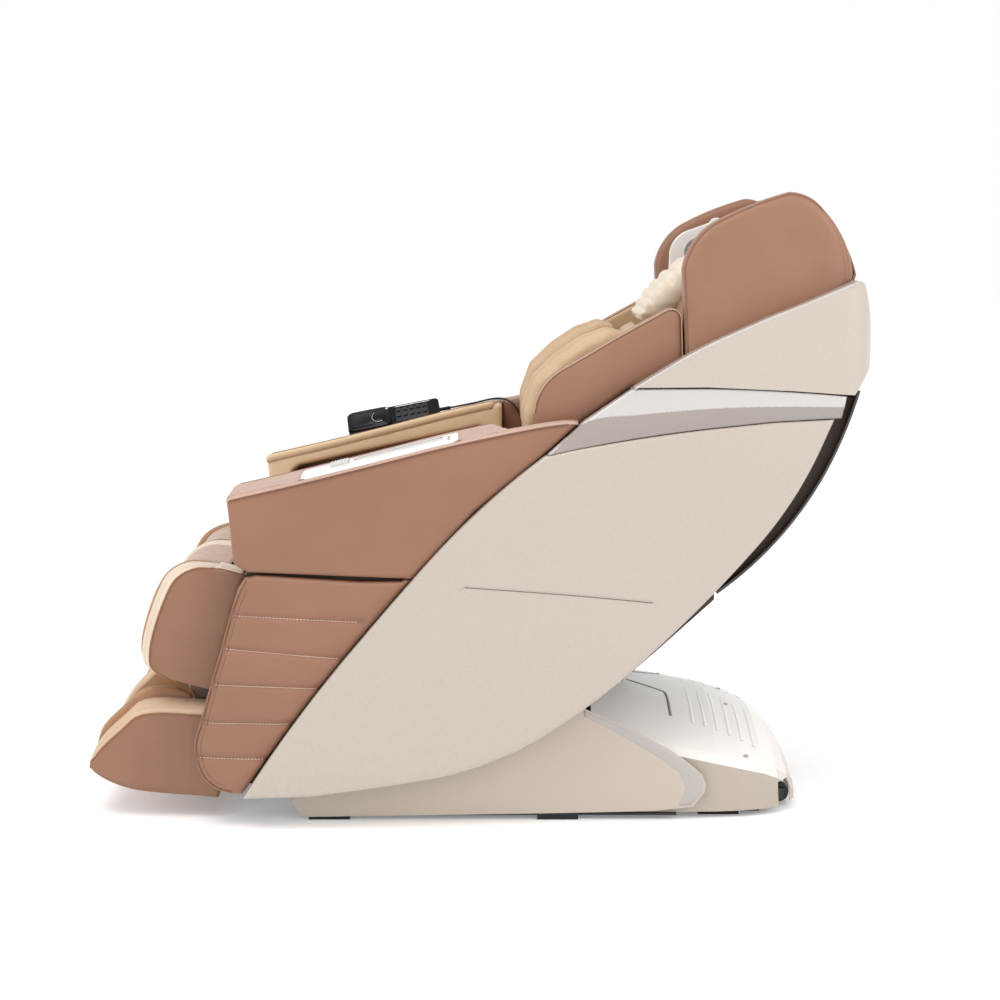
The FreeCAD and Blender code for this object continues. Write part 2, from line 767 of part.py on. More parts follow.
def cross_tubes():
    reach = FRAME_IN - PLAY
    radius = size("tube_radius")
    tubes = []
    centres = [(CROSS[0], 11), (CROSS[1], radius), (CROSS[2], radius), (back_point(14, TUBE_BEHIND), 12),
               (back_point(430, TUBE_BEHIND), 12), (at(640, 795), radius)]
    for centre, r in centres:
        tube = tube_between(Vector(-reach, *centre), Vector(reach, *centre), r)
        tubes.append(tube)
    lugs = []
    for hand in (LEFT, RIGHT):
        elbow = at(-425, 405)
        lugs.append(link_plate([KNEE, elbow], 13, hand * 205.5, hand * 213.5))
        lugs.append(link_plate([elbow, CROSS[0]], 12, hand * 205.5, hand * 213.5))
        pin = tube_between(Vector(hand * 195, *KNEE), Vector(hand * 213, *KNEE), size("knee_pin_radius"))
        lugs.append(pin)
        for high, low in ((CROSS[1], LEG_REAR), (CROSS[2], RECLINE_HIGH)):
            lugs.append(link_plate([high, low], 13, hand * 14, hand * 20))
    for low, r in ((LEG_REAR, size("actuator_pin_radius")), (RECLINE_HIGH, size("actuator_pin_radius"))):
        lugs.append(tube_between(Vector(-20, *low), Vector(20, *low), r))
    joined = tubes[0].multiFuse(tubes[1:3] + lugs)
    return form("cross_tubes", Part.makeCompound(joined.Solids + tubes[3:]))


def link_plate(ends, half_height, x_from, x_to):
    # A flat bar round two pins
    a = Vector(min(x_from, x_to), *ends[0])
    b = Vector(min(x_from, x_to), *ends[1])
    thickness = abs(x_to - x_from)
    run = (b - a).normalize()
    off = Vector(0, -run.z, run.y) * half_height
    corners = [a + off, b + off, b - off, a - off, a + off]
    plate = Part.Face(Part.makePolygon(corners)).extrude(X_AXIS * thickness)
    discs = [Part.makeCylinder(half_height, thickness, point, X_AXIS) for point in (a, b)]
    return plate.multiFuse(discs)


# Curved tracks of the massage rollers
def roller_tracks():
    deep = size("track_depth")
    members = []
    low, far = TRACK_IN, TRACK_IN + deep
    path = [back_point(462, low), back_point(462, far), back_point(0, far), via(62, 376), at(8, 362),
            at(8, 388), via(50, 398), back_point(0, low)]
    for name, hand in SIDES:
        body = doc.addObject("PartDesign::Body", f"roller_track_{name}")
        place_x(body, f"{hand} * Sizes.track_gauge")
        pad(body, sketch_on(body, "YZ_Plane", "Outline", path), "Sizes.track_width", hand < 0)
        groove = [back_point(470, low + 8), back_point(470, far - 8), back_point(4, far - 8),
                  back_point(4, low + 8)]
        pocket(body, sketch_on(body, "YZ_Plane", "Groove", groove), "Sizes.track_width - 5", hand > 0)
        members.append(body)
    group("roller_tracks", members)


# Massage mechanism: a carriage on the tracks, two kneading arms and four rollers
MECH_ALONG = 230
ARM_DEPTH = 92
ARM_REACH = 58
ROLLER_DEPTH = 66
ARM_X = 62


def massage_carriage():
    gauge = size("track_gauge") - PLAY
    near, far = TRACK_IN + 2, TRACK_IN + size("track_depth") - 2
    body_box = slab_on_back(MECH_ALONG - 46, MECH_ALONG + 46, near, far, -gauge, gauge)
    motor = slab_on_back(MECH_ALONG - 40, MECH_ALONG + 40, far, far + 44, -58, 58)
    axles = []
    guide = (TRACK_IN + TRACK_IN + size("track_depth")) / 2
    for along in (MECH_ALONG - 32, MECH_ALONG + 32):
        start = on_back(along, guide, -gauge - 10)
        axles.append(tube_between(start, start + X_AXIS * (2 * gauge + 20), 5.5))
    shaft = tube_between(on_back(MECH_ALONG, ARM_DEPTH, -82), on_back(MECH_ALONG, ARM_DEPTH, 82), 7)
    cheeks = []
    for x in (-82, -6, 76):
        wide = 6 if abs(x) > 10 else 12
        cheeks.append(slab_on_back(MECH_ALONG - 14, MECH_ALONG + 14, ARM_DEPTH - 12, near + 2, x, x + wide))
    whole = body_box.multiFuse([motor, shaft] + axles + cheeks)
    return form("massage_carriage", whole)


def slab_on_back(along_a, along_b, depth_a, depth_b, x_a, x_b):
    corners = [back_point(along_a, depth_a), back_point(along_b, depth_a), back_point(along_b, depth_b),
               back_point(along_a, depth_b)]
    return side_slab(corners, x_a, x_b)


def massage_arm(name, hand):
    bore = size("running_gap")
    x_in = hand * ARM_X - 10
    hub = on_back(MECH_ALONG, ARM_DEPTH)
    low = on_back(MECH_ALONG - ARM_REACH, ROLLER_DEPTH)
    high = on_back(MECH_ALONG + ARM_REACH, ROLLER_DEPTH)
    pieces = [link_plate([(hub.y, hub.z), (end.y, end.z)], 12, x_in, x_in + 10) for end in (low, high)]
    for end in (low, high):
        start = Vector(x_in, end.y, end.z)
        reach = size("roller_width") + 6
        pieces.append(tube_between(start - X_AXIS * (reach if hand < 0 else -10),
                                   start + X_AXIS * (0 if hand < 0 else reach + 10),
                                   size("roller_pin_radius")))
    whole = pieces[0].multiFuse(pieces[1:])
    hole = tube_between(Vector(x_in - 1, hub.y, hub.z), Vector(x_in + 11, hub.y, hub.z), 7 + bore)
    return form(f"massage_arm_{name}", whole.cut(hole))


def roller(name, hand, level, way):
    centre = on_back(MECH_ALONG + way * ARM_REACH, ROLLER_DEPTH)
    wide = size("roller_width")
    x_from = hand * ARM_X + (2 if hand > 0 else -12 - wide)
    body = new_body(f"roller_{level}_{name}")
    body.Placement = Placement(Vector(x_from, centre.y, centre.z), Rotation())
    r = size("roller_radius")
    bore = size("roller_pin_radius") + size("running_gap")
    half = [(0, bore), (0, r - 7), (wide * 0.15, r - 2, "via"), (wide / 2, r), (wide * 0.85, r - 2, "via"),
            (wide, r - 7), (wide, bore)]
    sketch = sketch_on(body, "XY_Plane", "Profile", half)
    turn = body.newObject("PartDesign::Revolution", "Revolution")
    turn.Profile = sketch
    turn.ReferenceAxis = (sketch, ["H_Axis"])
    turn.Angle = 360
    doc.recompute()
    return body


def recline_actuator():
    # Tube and motor turn on the carriage's pin; the rod lifts the body's lug
    start = Vector(0, *RECLINE_LOW)
    end = Vector(0, *RECLINE_HIGH)
    telescoping("recline_actuator", start, end, 150, 34, 2, 1.5)


def leg_actuator():
    # The leg rest's pin wanders across the rod, so its head has a slot across it
    start = Vector(0, *LEG_REAR)
    end = Vector(0, *LEG_FRONT)
    telescoping("leg_actuator", start, end, 196, 45, 4, 12.5)


ROD_RADIUS = 8
TUBE_RADIUS = 13
MOTOR_RADIUS = 14
MOTOR_SIDE = 24
EYE_WIDE = 12
HEAD_WALL = 6


def telescoping(label, start, end, tube_length, rod_from, along, across):
    # A tube with its motor beside it, and a rod whose head leaves the pin free along and across
    run = (end - start).normalize()
    pin = size("actuator_pin_radius")
    gap = size("running_gap")
    side_x = X_AXIS * MOTOR_SIDE
    barrel = tube_between(start + run * 8, start + run * tube_length, TUBE_RADIUS)
    eye = Part.makeCylinder(pin + 8, EYE_WIDE, start - X_AXIS * (EYE_WIDE / 2), X_AXIS)
    motor = tube_between(start + run * 24 + side_x, start + run * 86 + side_x, MOTOR_RADIUS)
    bridge = tube_between(start + run * 38, start + run * 38 + side_x, 10)
    bore = tube_between(start + run * 18, start + run * (tube_length + 1), ROD_RADIUS + gap)
    hole = tube_between(start - X_AXIS * 20, start + X_AXIS * 20, pin + gap)
    form(f"{label}_tube", barrel.multiFuse([eye, motor, bridge]).cut(bore).cut(hole))
    sideways = Vector(0, -run.z, run.y) * across
    slot_ends = [(end + sideways).y, (end + sideways).z], [(end - sideways).y, (end - sideways).z]
    head = link_plate(slot_ends, pin + along + HEAD_WALL, -EYE_WIDE / 2, EYE_WIDE / 2)
    slot = link_plate(slot_ends, pin + along, -EYE_WIDE, EYE_WIDE)
    rod = tube_between(start + run * rod_from, end - run * (pin + along + 1), ROD_RADIUS)
    form(f"{label}_rod", rod.fuse(head).cut(slot))


# Base: floor plate, slide rails, covers, feet and wheels
PLATE_Z = 9.3
RAIL_X = 250


def base_frame():
    plate_top = PLATE_Z + size("base_plate")
    wide = size("base_half_width") - size("base_cover_wall") - PLAY
    front, middle, rear = -330 * LONG, 400 * LONG, 566 * LONG
    plan = [(-wide, front), (wide, front), (wide, middle), (278, middle), (278, rear), (-278, rear),
            (-278, middle), (-wide, middle)]
    shape = plan_slab(plan, PLATE_Z, plate_top)
    extras = []
    wheel_y, wheel_z = at(608, 39)
    half_wheel = size("wheel_width") / 2
    for hand in (LEFT, RIGHT):
        corner = Vector(hand * RAIL_X - 25, front + 10, plate_top - 0.01)
        rail = Part.makeBox(50, rear - front - 16, 35, corner)
        extras.append(rail)
        centre = hand * 240
        for x in (centre - half_wheel - 6.5, centre + half_wheel + 1.5):
            cheek = Part.makeBox(5, wheel_y + 10 - rear + 8, 22, Vector(x, rear - 8, 26))
            extras.append(cheek)
        axle_half = half_wheel + 6
        extras.append(tube_between(Vector(centre - axle_half, wheel_y, wheel_z),
                                   Vector(centre + axle_half, wheel_y, wheel_z), size("axle_radius")))
    form("base_frame", shape.multiFuse(extras).removeSplitter())


FOOT_PAD_X = size("base_half_width") - 25


def base_feet():
    members = []
    for name, hand in SIDES:
        for number, (y, in_by) in enumerate(((-279, 0), (168, 0), (486, 35)), start=1):
            corner = (hand * (FOOT_PAD_X - in_by) - 20, y * LONG - 40, 0)
            foot = box(f"foot_{name}_{number}", 40, 80, "Sizes.foot_pad_height", corner)
            members.append(foot)
    group("base_feet", members)


def transport_wheel(name, hand):
    wheel_y, wheel_z = at(608, 39)
    half_wheel = size("wheel_width") / 2
    tyre = rod_x(f"tyre_{name}", "Sizes.wheel_radius", hand * 240 - half_wheel, hand * 240 + half_wheel,
                 (wheel_y, wheel_z))
    bore = rod_x(f"bore_{name}", "Sizes.axle_radius + Sizes.running_gap", hand * 240 - 12, hand * 240 + 12,
                 (wheel_y, wheel_z))
    keep(cut(f"transport_wheel_{name}", tyre, bore), f"transport_wheel_{name}")


BASE_SIDE = [
    at(-334, 9), at(-320, 7), at(133, 14), at(283, 17), at(357, 19), at(432, 27), at(454, 56), at(457, 72),
    at(450, 91), via(416, 120), at(356, 156), at(281, 196), at(218, 223), at(200, 214), at(176, 198),
    at(60, 198), at(-300, 90), at(-351, 39),
]


def base_side_cover(name, hand):
    body = new_body(f"base_side_cover_{name}")
    place_x(body, f"{hand} * (Sizes.base_half_width - Sizes.base_cover_wall)")
    pad(body, sketch_on(body, "YZ_Plane", "Outline", BASE_SIDE), "Sizes.base_cover_wall", hand < 0)


REAR_COVER = [
    (236, 299, 176, 228), (316, 299, 158, 219), (396, 299, 141, 206), (481, 296, 122, 190),
    (530, 290, 110, 173), (574, 278, 98, 153), (603, 262, 84, 130), (628, 236, 66, 97), (645, 200, 44, 64),
]


def rear_cover_section(y, half_width, ridge, top, less):
    w = half_width - less
    floor_z = PLATE_Z + size("base_plate") + PLAY - (6 if less else 0)
    low = ridge * TALL - 14 - less
    high = ridge * TALL - less
    crest = top * TALL - less
    yy = y * LONG
    left = [Vector(-w, yy, floor_z), Vector(-w + 3, yy, low), Vector(-w + 24, yy, high)]
    right = [Vector(-p.x, p.y, p.z) for p in reversed(left)]
    edges = [Part.LineSegment(left[0], left[1]).toShape(), Part.LineSegment(left[1], left[2]).toShape()]
    edges.append(Part.Arc(left[2], Vector(0, yy, crest), right[0]).toShape())
    edges.append(Part.LineSegment(right[0], right[1]).toShape())
    edges.append(Part.LineSegment(right[1], right[2]).toShape())
    edges.append(Part.LineSegment(right[2], left[0]).toShape())
    return Part.Wire(edges)


def base_rear_cover():
    wall = size("base_cover_wall")
    outer = loft([rear_cover_section(*station, 0) for station in REAR_COVER])
    inner_stations = [(REAR_COVER[0][0] - 4,) + REAR_COVER[0][1:]] + REAR_COVER[1:-1]
    last = REAR_COVER[-1]
    inner_stations.append((last[0] - wall / LONG, last[1] + 6, last[2] + 3, last[3] + 6))
    inner = loft([rear_cover_section(*station, wall) for station in inner_stations])
    shape = outer.cut(inner)
    wheel_y, wheel_z = at(608, 39)
    for hand in (LEFT, RIGHT):
        reach = size("wheel_width") / 2 + 9
        well = Part.makeBox(2 * reach, 60, 54, Vector(hand * 240 - reach, wheel_y - 26, 8))
        shape = shape.cut(well)
    rear = 645 * LONG
    for x, wide, tall in SOCKETS:
        corner = Vector(x - wide / 2 - 0.5, rear - 20, SOCKET_Z - 0.5)
        shape = shape.cut(Part.makeBox(wide + 1, 30, tall + 1, corner))
    form("base_rear_cover", shape)


SOCKET_Z = 22
INLET_X = -70
SWITCH_X = -20
SOCKETS = [(INLET_X, 48, 26), (SWITCH_X, 20, 26)]


def power_inlet():
    rear = 645 * LONG
    block = Part.makeBox(48, 22, 26, Vector(INLET_X - 24, rear - 21, SOCKET_Z))
    flange = Part.makeBox(56, 2, 30, Vector(INLET_X - 28, rear + PLAY, SOCKET_Z - 2))
    mouth = Part.makeBox(25, 14, 17, Vector(INLET_X - 12.5, rear - 10, SOCKET_Z + 4.5))
    pin_z = SOCKET_Z + 13
    pins = [tube_between(Vector(INLET_X + dx, rear - 12, pin_z), Vector(INLET_X + dx, rear + 1, pin_z), 1.6)
            for dx in (-7, 0, 7)]
    form("power_inlet", block.fuse(flange).cut(mouth).multiFuse(pins))


def power_switch():
    # Rocker that turns on a pin across its well
    rear = 645 * LONG
    middle = SOCKET_Z + 13
    path = [(rear - 12, middle - 8), (rear + 3, middle - 10), (rear + 1, middle), (rear + 3, middle + 10),
            (rear - 12, middle + 8)]
    form("power_switch", side_slab(path, SWITCH_X - 10, SWITCH_X + 10))


def slide_rails():
    members = []
    for name, hand in SIDES:
        corner = (hand * RAIL_X - 15, -300 * LONG, RAIL_TOP)
        members.append(box(f"slide_rail_{name}", 30, 600 * LONG, 18, corner))
    group("slide_rails", members)


RAIL_TOP = PLATE_Z + 4 + 35 + PLAY


def control_box():
    plate_top = PLATE_Z + size("base_plate") + PLAY
    box_body = box("case", 230, 150, 70, (-115, 400 * LONG, plate_top))
    keep(box_body, "control_box")


def slide_actuator():
    plate_top = PLATE_Z + size("base_plate") + PLAY
    motor = Part.makeBox(60, 90, 60, Vector(-110, 290 * LONG, plate_top))
    barrel = tube_between(Vector(-80, 290 * LONG, 62), Vector(-80, 60 * LONG, 62), 14)
    bore_radius = ROD_RADIUS + size("running_gap")
    bore = tube_between(Vector(-80, 284 * LONG, 62), Vector(-80, 59 * LONG, 62), bore_radius)
    bracket = Part.makeBox(24, 30, 60 - plate_top, Vector(-92, 70 * LONG, plate_top))
    form("slide_actuator", motor.multiFuse([barrel, bracket]).cut(bore))


# Carriage that slides on the base and carries the tilting body
def carriage():
    low = RAIL_TOP + 18 + PLAY
    pieces = []
    cheek_in, cheek_out = 15 + PLAY, 24
    for hand in (LEFT, RIGHT):
        beam = Part.makeBox(30, 350 * LONG, 24, Vector(hand * RAIL_X - 15, -105 * LONG, low))
        pieces.append(beam)
        for y in (-100, 160):
            corner = Vector(hand * RAIL_X - cheek_out, y * LONG, low)
            pieces.append(Part.makeBox(2 * cheek_out, 80, 12, corner))
            for x in (hand * RAIL_X - cheek_out, hand * RAIL_X + cheek_in):
                pieces.append(Part.makeBox(cheek_out - cheek_in, 80, 16, Vector(x, y * LONG, low - 15.9)))
        upright = [(RECLINE[0] - 14, RECLINE[1]), via_abs(RECLINE[0], RECLINE[1] + 16),
                   (RECLINE[0] + 14, RECLINE[1]), (RECLINE[0] + 70, low + 20), (RECLINE[0] - 90, low + 20)]
        pieces.append(side_slab(upright, hand * RAIL_X - 6, hand * RAIL_X + 6))
    for y in (-98, 200):
        pieces.append(Part.makeBox(2 * RAIL_X, 34, 22, Vector(-RAIL_X, y * LONG, low + 11)))
    reach = FRAME_OUT
    shaft_radius, pin_radius = size("recline_shaft_radius"), size("actuator_pin_radius")
    pieces.append(tube_between(Vector(-reach, *RECLINE), Vector(reach, *RECLINE), shaft_radius))
    for hand in (LEFT, RIGHT):
        pieces.append(link_plate([(-81 * LONG, low + 12), RECLINE_LOW], 12, hand * 14, hand * 20))
    pieces.append(tube_between(Vector(-20, *RECLINE_LOW), Vector(20, *RECLINE_LOW), pin_radius))
    rod = tube_between(Vector(-80, -90 * LONG, 62), Vector(-80, 180 * LONG, 62), ROD_RADIUS)
    tab = Part.makeBox(20, 14, 26, Vector(-90, -92 * LONG, 56))
    pieces += [rod, tab]
    form("carriage", pieces[0].multiFuse(pieces[1:]).removeSplitter())


def via_abs(y, z):
    return (y, z, "via")


# Leg rest: a steel frame on the knee hinge, then the calf unit with two wells
LEG_AXIS = Vector(0, -0.25, -0.9682)
LEG_FRONTWARD = Vector(0, -0.9682, 0.25)
KNEE_POINT = Vector(0, *KNEE)


def on_leg(along, forward, x=0):
    return KNEE_POINT + LEG_AXIS * (along * TALL) + LEG_FRONTWARD * forward + X_AXIS * x


def leg_point(along, forward):
    point = on_leg(along, forward)
    return (point.y, point.z)


def leg_slab(along_a, along_b, forward_a, forward_b, x_a, x_b):
    corners = [leg_point(along_a, forward_a), leg_point(along_b, forward_a), leg_point(along_b, forward_b),
               leg_point(along_a, forward_b)]
    return side_slab(corners, x_a, x_b)


ROD_X = 150


def legrest_frame():
    rod = size("foot_rod_radius")
    near = CALF_BACK - PLAY
    pieces = [leg_slab(56, 92, 2, near, -256, 256), leg_slab(180, 208, 2, near, -256, 256)]
    bores = []
    for hand in (LEFT, RIGHT):
        pieces.append(tube_between(on_leg(30, -2, hand * ROD_X), on_leg(214, -2, hand * ROD_X), rod + 4))
        bores.append(tube_between(on_leg(29, -2, hand * ROD_X), on_leg(215, -2, hand * ROD_X),
                                  rod + size("running_gap")))
        bar = leg_point(74, -1)
        pieces.append(link_plate([KNEE, bar], 13, hand * 197, hand * 205))
        bores.append(tube_between(Vector(hand * 190, *KNEE), Vector(hand * 215, *KNEE),
                                  size("knee_pin_radius") + size("running_gap")))
        pieces.append(link_plate([LEG_FRONT, bar], 11, hand * 9, hand * 15))
    pieces.append(tube_between(Vector(-15, *LEG_FRONT), Vector(15, *LEG_FRONT), size("actuator_pin_radius")))
    shape = pieces[0].multiFuse(pieces[1:])
    for hole in bores:
        shape = shape.cut(hole)
    form("legrest_frame", shape)


# Stations of the calf unit: along the leg, crest of the walls
CALF_CRESTS = [
    (-7, 72), (2, 98), (17, 118), (40, 131), (74, 141), (120, 147), (163, 148), (196, 143), (211, 134),
    (220, 114), (226, 90),
]
CALF_FLOOR = 46
CALF_RISE = 5
CALF_KNEE_RISE = 14
CALF_BACK = 14
CALF_SIDE_BACK = -16


def calf_unit():
    wires = []
    for along, crest in CALF_CRESTS:
        floor_height = min(CALF_FLOOR, crest - 10)
        knee_rise = CALF_KNEE_RISE * max(0, 1 - max(0, along) / 40)
        rise = CALF_RISE * min(1, (crest - floor_height) / 60) + knee_rise
        wires.append(well_section(lambda x, t, s=along: on_leg(s, t, x), crest, floor_height, CALF_BACK, 260,
                                  CALF_SIDE_BACK, 22, rise))
    form("calf_unit", loft(wires))


def well_section(place, crest, floor_height, back, notch, side_back, round_off, rise):
    # Across both wells: outer walls, a taller middle wall and dished floors, and a notch behind for the frame
    w = size("leg_unit_half_width")
    a = w - size("leg_wall")
    m = size("leg_middle") / 2
    k = min(round_off, (crest - floor_height) * 0.45)
    shoulder = crest - k
    dish = floor_height + min(10, (shoulder - floor_height) * 0.4)
    middle_well = (m + a) / 2
    edges = []

    def line(p, q):
        edges.append(Part.LineSegment(place(*p), place(*q)).toShape())

    def bow(p, q, r):
        edges.append(Part.Arc(place(*p), place(*q), place(*r)).toShape())

    line((-w, side_back), (-w, shoulder))
    bow((-w, shoulder), (-(w + a) / 2, crest), (-a, shoulder))
    line((-a, shoulder), (-a, dish))
    bow((-a, dish), (-middle_well, floor_height), (-m, dish))
    line((-m, dish), (-m, shoulder + rise))
    bow((-m, shoulder + rise), (0, crest + rise), (m, shoulder + rise))
    line((m, shoulder + rise), (m, dish))
    bow((m, dish), (middle_well, floor_height), (a, dish))
    line((a, dish), (a, shoulder))
    bow((a, shoulder), ((w + a) / 2, crest), (w, shoulder))
    line((w, shoulder), (w, side_back))
    line((w, side_back), (notch, side_back))
    line((notch, side_back), (notch, back))
    line((notch, back), (-notch, back))
    line((-notch, back), (-notch, side_back))
    line((-notch, side_back), (-w, side_back))
    return Part.Wire(edges)


# Foot unit: stations from the toes back, with sole, crest and floor heights
FOOT_STATIONS = [(-750, 101, 116, 109), (-738, 92, 139, 104), (-716, 80, 168, 98), (-682, 67, 199, 90),
                 (-654, 60, 224, 86), (-630, 57, 231, 84), (-600, 54, 233, 84), (-562, 51, 231, 84),
                 (-554, 51, 222, 84), (-546, 50, 214, 198), (-530, 49, 210.5, 197), (-512, 47, 206, 192),
                 (-497, 46, 196, 180)]


def foot_unit():
    wires = []
    for y, sole, crest, floor_height in FOOT_STATIONS:
        yy = y * LONG

        def place(x, z, yy=yy):
            return Vector(x, yy, z * TALL)

        rise = 26 * min(1, max(0, crest - floor_height) / 90) if floor_height < 120 else 0
        wires.append(well_section(place, crest, floor_height, sole, 262, sole - 2, 20, rise))
    form("foot_unit", loft(wires))


def foot_frame():
    # Guide rods in the leg rest's tubes, on a cross plate over the foot unit's heel
    rod = size("foot_rod_radius")
    pieces = [leg_slab(268, 275, -16, 14, -190, 190)]
    for hand in (LEFT, RIGHT):
        pieces.append(tube_between(on_leg(44, -2, hand * ROD_X), on_leg(272, -2, hand * ROD_X), rod))
    form("foot_frame", pieces[0].multiFuse(pieces[1:]))


# Remote control, its dock in the right armrest and its cord
HANDSET_LEAN = math.radians(42)
HANDSET_RISE = math.radians(11)
HANDSET_Y = -178 * LONG
HANDSET_EDGE_X = FRAME_IN - 34
ALONG = Vector(0, math.cos(HANDSET_RISE), math.sin(HANDSET_RISE))
DOCK_UP = Vector(0, -math.sin(HANDSET_RISE), math.cos(HANDSET_RISE))
FACE_UP = X_AXIS * -math.cos(HANDSET_LEAN) + DOCK_UP * math.sin(HANDSET_LEAN)
FACE_OUT = X_AXIS * math.sin(HANDSET_LEAN) + DOCK_UP * math.cos(HANDSET_LEAN)
EDGE = Vector(-HANDSET_EDGE_X, HANDSET_Y, armrest_top(HANDSET_Y)) + DOCK_UP * 4
HANDSET_TURN = Placement(FreeCAD.Matrix(
    ALONG.x, FACE_UP.x, FACE_OUT.x, EDGE.x,
    ALONG.y, FACE_UP.y, FACE_OUT.y, EDGE.y,
    ALONG.z, FACE_UP.z, FACE_OUT.z, EDGE.z,
    0, 0, 0, 1))


def on_handset(along, up, out):
    return EDGE + ALONG * along + FACE_UP * up + FACE_OUT * out


def handset():
    long_half = size("handset_length") / 2
    wide = size("handset_width")
    body = new_body("handset_body")
    body.Placement = HANDSET_TURN
    r = 9
    slant = r * (1 - math.sqrt(0.5))
    plan = [
        (-long_half + r, 0), (long_half - r, 0), (long_half - slant, slant, "via"), (long_half, r),
        (long_half, wide - r), (long_half - slant, wide - slant, "via"), (long_half - r, wide),
        (r - long_half, wide), (slant - long_half, wide - slant, "via"), (-long_half, wide - r),
        (-long_half, r), (slant - long_half, slant, "via"),
    ]
    pad(body, sketch_on(body, "XY_Plane", "Outline", plan), "Sizes.handset_thickness", backwards=True)
    screen = [(14 - long_half, 10), (-26, 10), (-26, wide - 10), (14 - long_half, wide - 10)]
    pocket(body, sketch_on(body, "XY_Plane", "Screen", screen), "1")
    x, y, long, wide_keys = MAT
    well = [(x - 0.5, y - 0.5), (x + long + 0.5, y - 0.5), (x + long + 0.5, y + wide_keys + 0.5),
            (x - 0.5, y + wide_keys + 0.5)]
    pocket(body, sketch_on(body, "XY_Plane", "KeyWell", well), "4.2")
    relief = sketch_on(body, "YZ_Plane", "Relief", offset=long_half - 1)
    draw_circle(relief, (wide / 2, -size("handset_thickness") / 2), "0.9 * Sizes.cord_diameter")
    pad(body, relief, str(RELIEF + 1))


KEY_HALF = 4.5
MAT = (5, 7, 74, 44)
RELIEF = 24


def key_places():
    return [(12 + 15 * column, 13 + 16 * line) for column in range(5) for line in range(3)]


def handset_keypad():
    # Fifteen keys of one rubber mat
    x, y, long, wide = MAT
    members = [box("key_mat", long, wide, 1.3, (x, y, -3.3))]
    for number, (x, y) in enumerate(key_places(), start=1):
        corner = (x - KEY_HALF, y - KEY_HALF, -2.7)
        members.append(box(f"key_{number}", 2 * KEY_HALF, 2 * KEY_HALF, 4, corner))
    mat = fused("handset_keypad", members)
    mat.Placement = HANDSET_TURN
    keep(mat, "handset_keypad")


DOCK_OUT = HANDSET_EDGE_X + 52
DOCK_IN = HANDSET_EDGE_X - 18


def dock():
    long_half = size("handset_length") / 2
    rest = doc.getObject("armrest_right")
    width = size("armrest_width")
    floor_height = -14
    y_a, y_b = -long_half - 6, long_half + 5
    path = []
    for along, up in ((y_a, floor_height), (y_b, floor_height), (y_b, 60), (y_a, 60)):
        point = EDGE - DOCK_UP * 4 + ALONG * along + DOCK_UP * up
        path.append((point.y, point.z))
    outer = HALF - size("armrest_set_in")
    start = outer - DOCK_OUT
    recess = sketch_on(rest, "YZ_Plane", "DockRecess", path, start)
    pocket(rest, recess, str(DOCK_OUT - DOCK_IN), True)
    thick = size("handset_thickness")
    corners = [(-PLAY, 2), (-PLAY, -thick - PLAY), (26, -thick - PLAY), (26, -thick - 3)]
    section = [EDGE + FACE_UP * up + FACE_OUT * out for up, out in corners]
    floor_line = EDGE - DOCK_UP * 4 + DOCK_UP * (floor_height + PLAY)
    low_out = floor_line + X_AXIS * (section[3].x - floor_line.x - 2)
    low_in = floor_line + X_AXIS * (section[0].x - floor_line.x)
    wire = Part.makePolygon([p - ALONG * (long_half - 2) for p in section + [low_out, low_in, section[0]]])
    form("handset_cradle", Part.Face(wire).extrude(ALONG * (2 * long_half - 4)))


# Points of the cord from the remote control to the gland behind the right armrest
CORD_POINTS = [
    (-320, 2, 764), (-310, 34, 773), (-299, 62, 776), (-290, 85, 765), (-286, 100, 742), (-285, 107, 715),
    (-285, 107, 691), (-285, 95, 673),
]


def cord_route():
    start = on_handset(size("handset_length") / 2 + RELIEF + 0.05, size("handset_width") / 2,
                       -size("handset_thickness") / 2)
    straight = start + ALONG * 26
    middle = [Vector(x, y, z) for x, y, z in CORD_POINTS]
    end = gland_mouth() + (middle[-1] - gland_mouth()).normalize() * 0.05
    return [start, straight] + middle + [end]


def gland_mouth():
    return Vector(-285, 62 * LONG + 10.4, 668)


def cord_gland():
    # A round foot on the armrest, and a nose in line with the cord
    mouth = gland_mouth()
    out = (Vector(*CORD_POINTS[-1]) - mouth).normalize()
    foot = Part.makeCylinder(8, 3, Vector(mouth.x, 62 * LONG + PLAY, mouth.z - 2), Vector(0, 1, 0))
    nose = Part.makeCone(6.5, 4, 9, mouth - out * 9, out)
    form("cord_gland", foot.fuse(nose))


def rounded_route(points):
    # Straight runs joined by tangent arcs, each as large as its two runs allow
    edges = []
    here = points[0]
    length = 0
    for before, corner_point, after in zip(points, points[1:], points[2:]):
        run_in = (corner_point - before)
        run_out = (after - corner_point)
        shorter = min(run_in.Length, run_out.Length)
        run_in = Vector(run_in).normalize()
        run_out = Vector(run_out).normalize()
        turn = run_in.getAngle(run_out)
        setback = 0.45 * shorter
        radius = setback / math.tan(turn / 2)
        first = corner_point - run_in * setback
        last = corner_point + run_out * setback
        bisector = (run_out - run_in).normalize()
        centre = corner_point + bisector * math.hypot(radius, setback)
        middle = centre - bisector * radius
        print(f"cord bend: radius {radius:.0f}, turn {math.degrees(turn):.0f}")
        edges.append(Part.LineSegment(here, first).toShape())
        edges.append(Part.Arc(first, middle, last).toShape())
        here = last
    edges.append(Part.LineSegment(here, points[-1]).toShape())
    return Part.Wire(edges)


def handset_cord():
    points = cord_route()
    path = rounded_route(points)
    radius = size("cord_diameter") / 2
    start = (points[1] - points[0]).normalize()
    ring = Part.Wire([Part.makeCircle(radius, points[0], start)])
    tube = path.makePipeShell([ring], True, True)
    expected = math.pi * radius ** 2 * path.Length
    print(f"cord: {path.Length:.0f} long, volume {tube.Volume / expected:.3f} of section times length")
    form("handset_cord", tube)


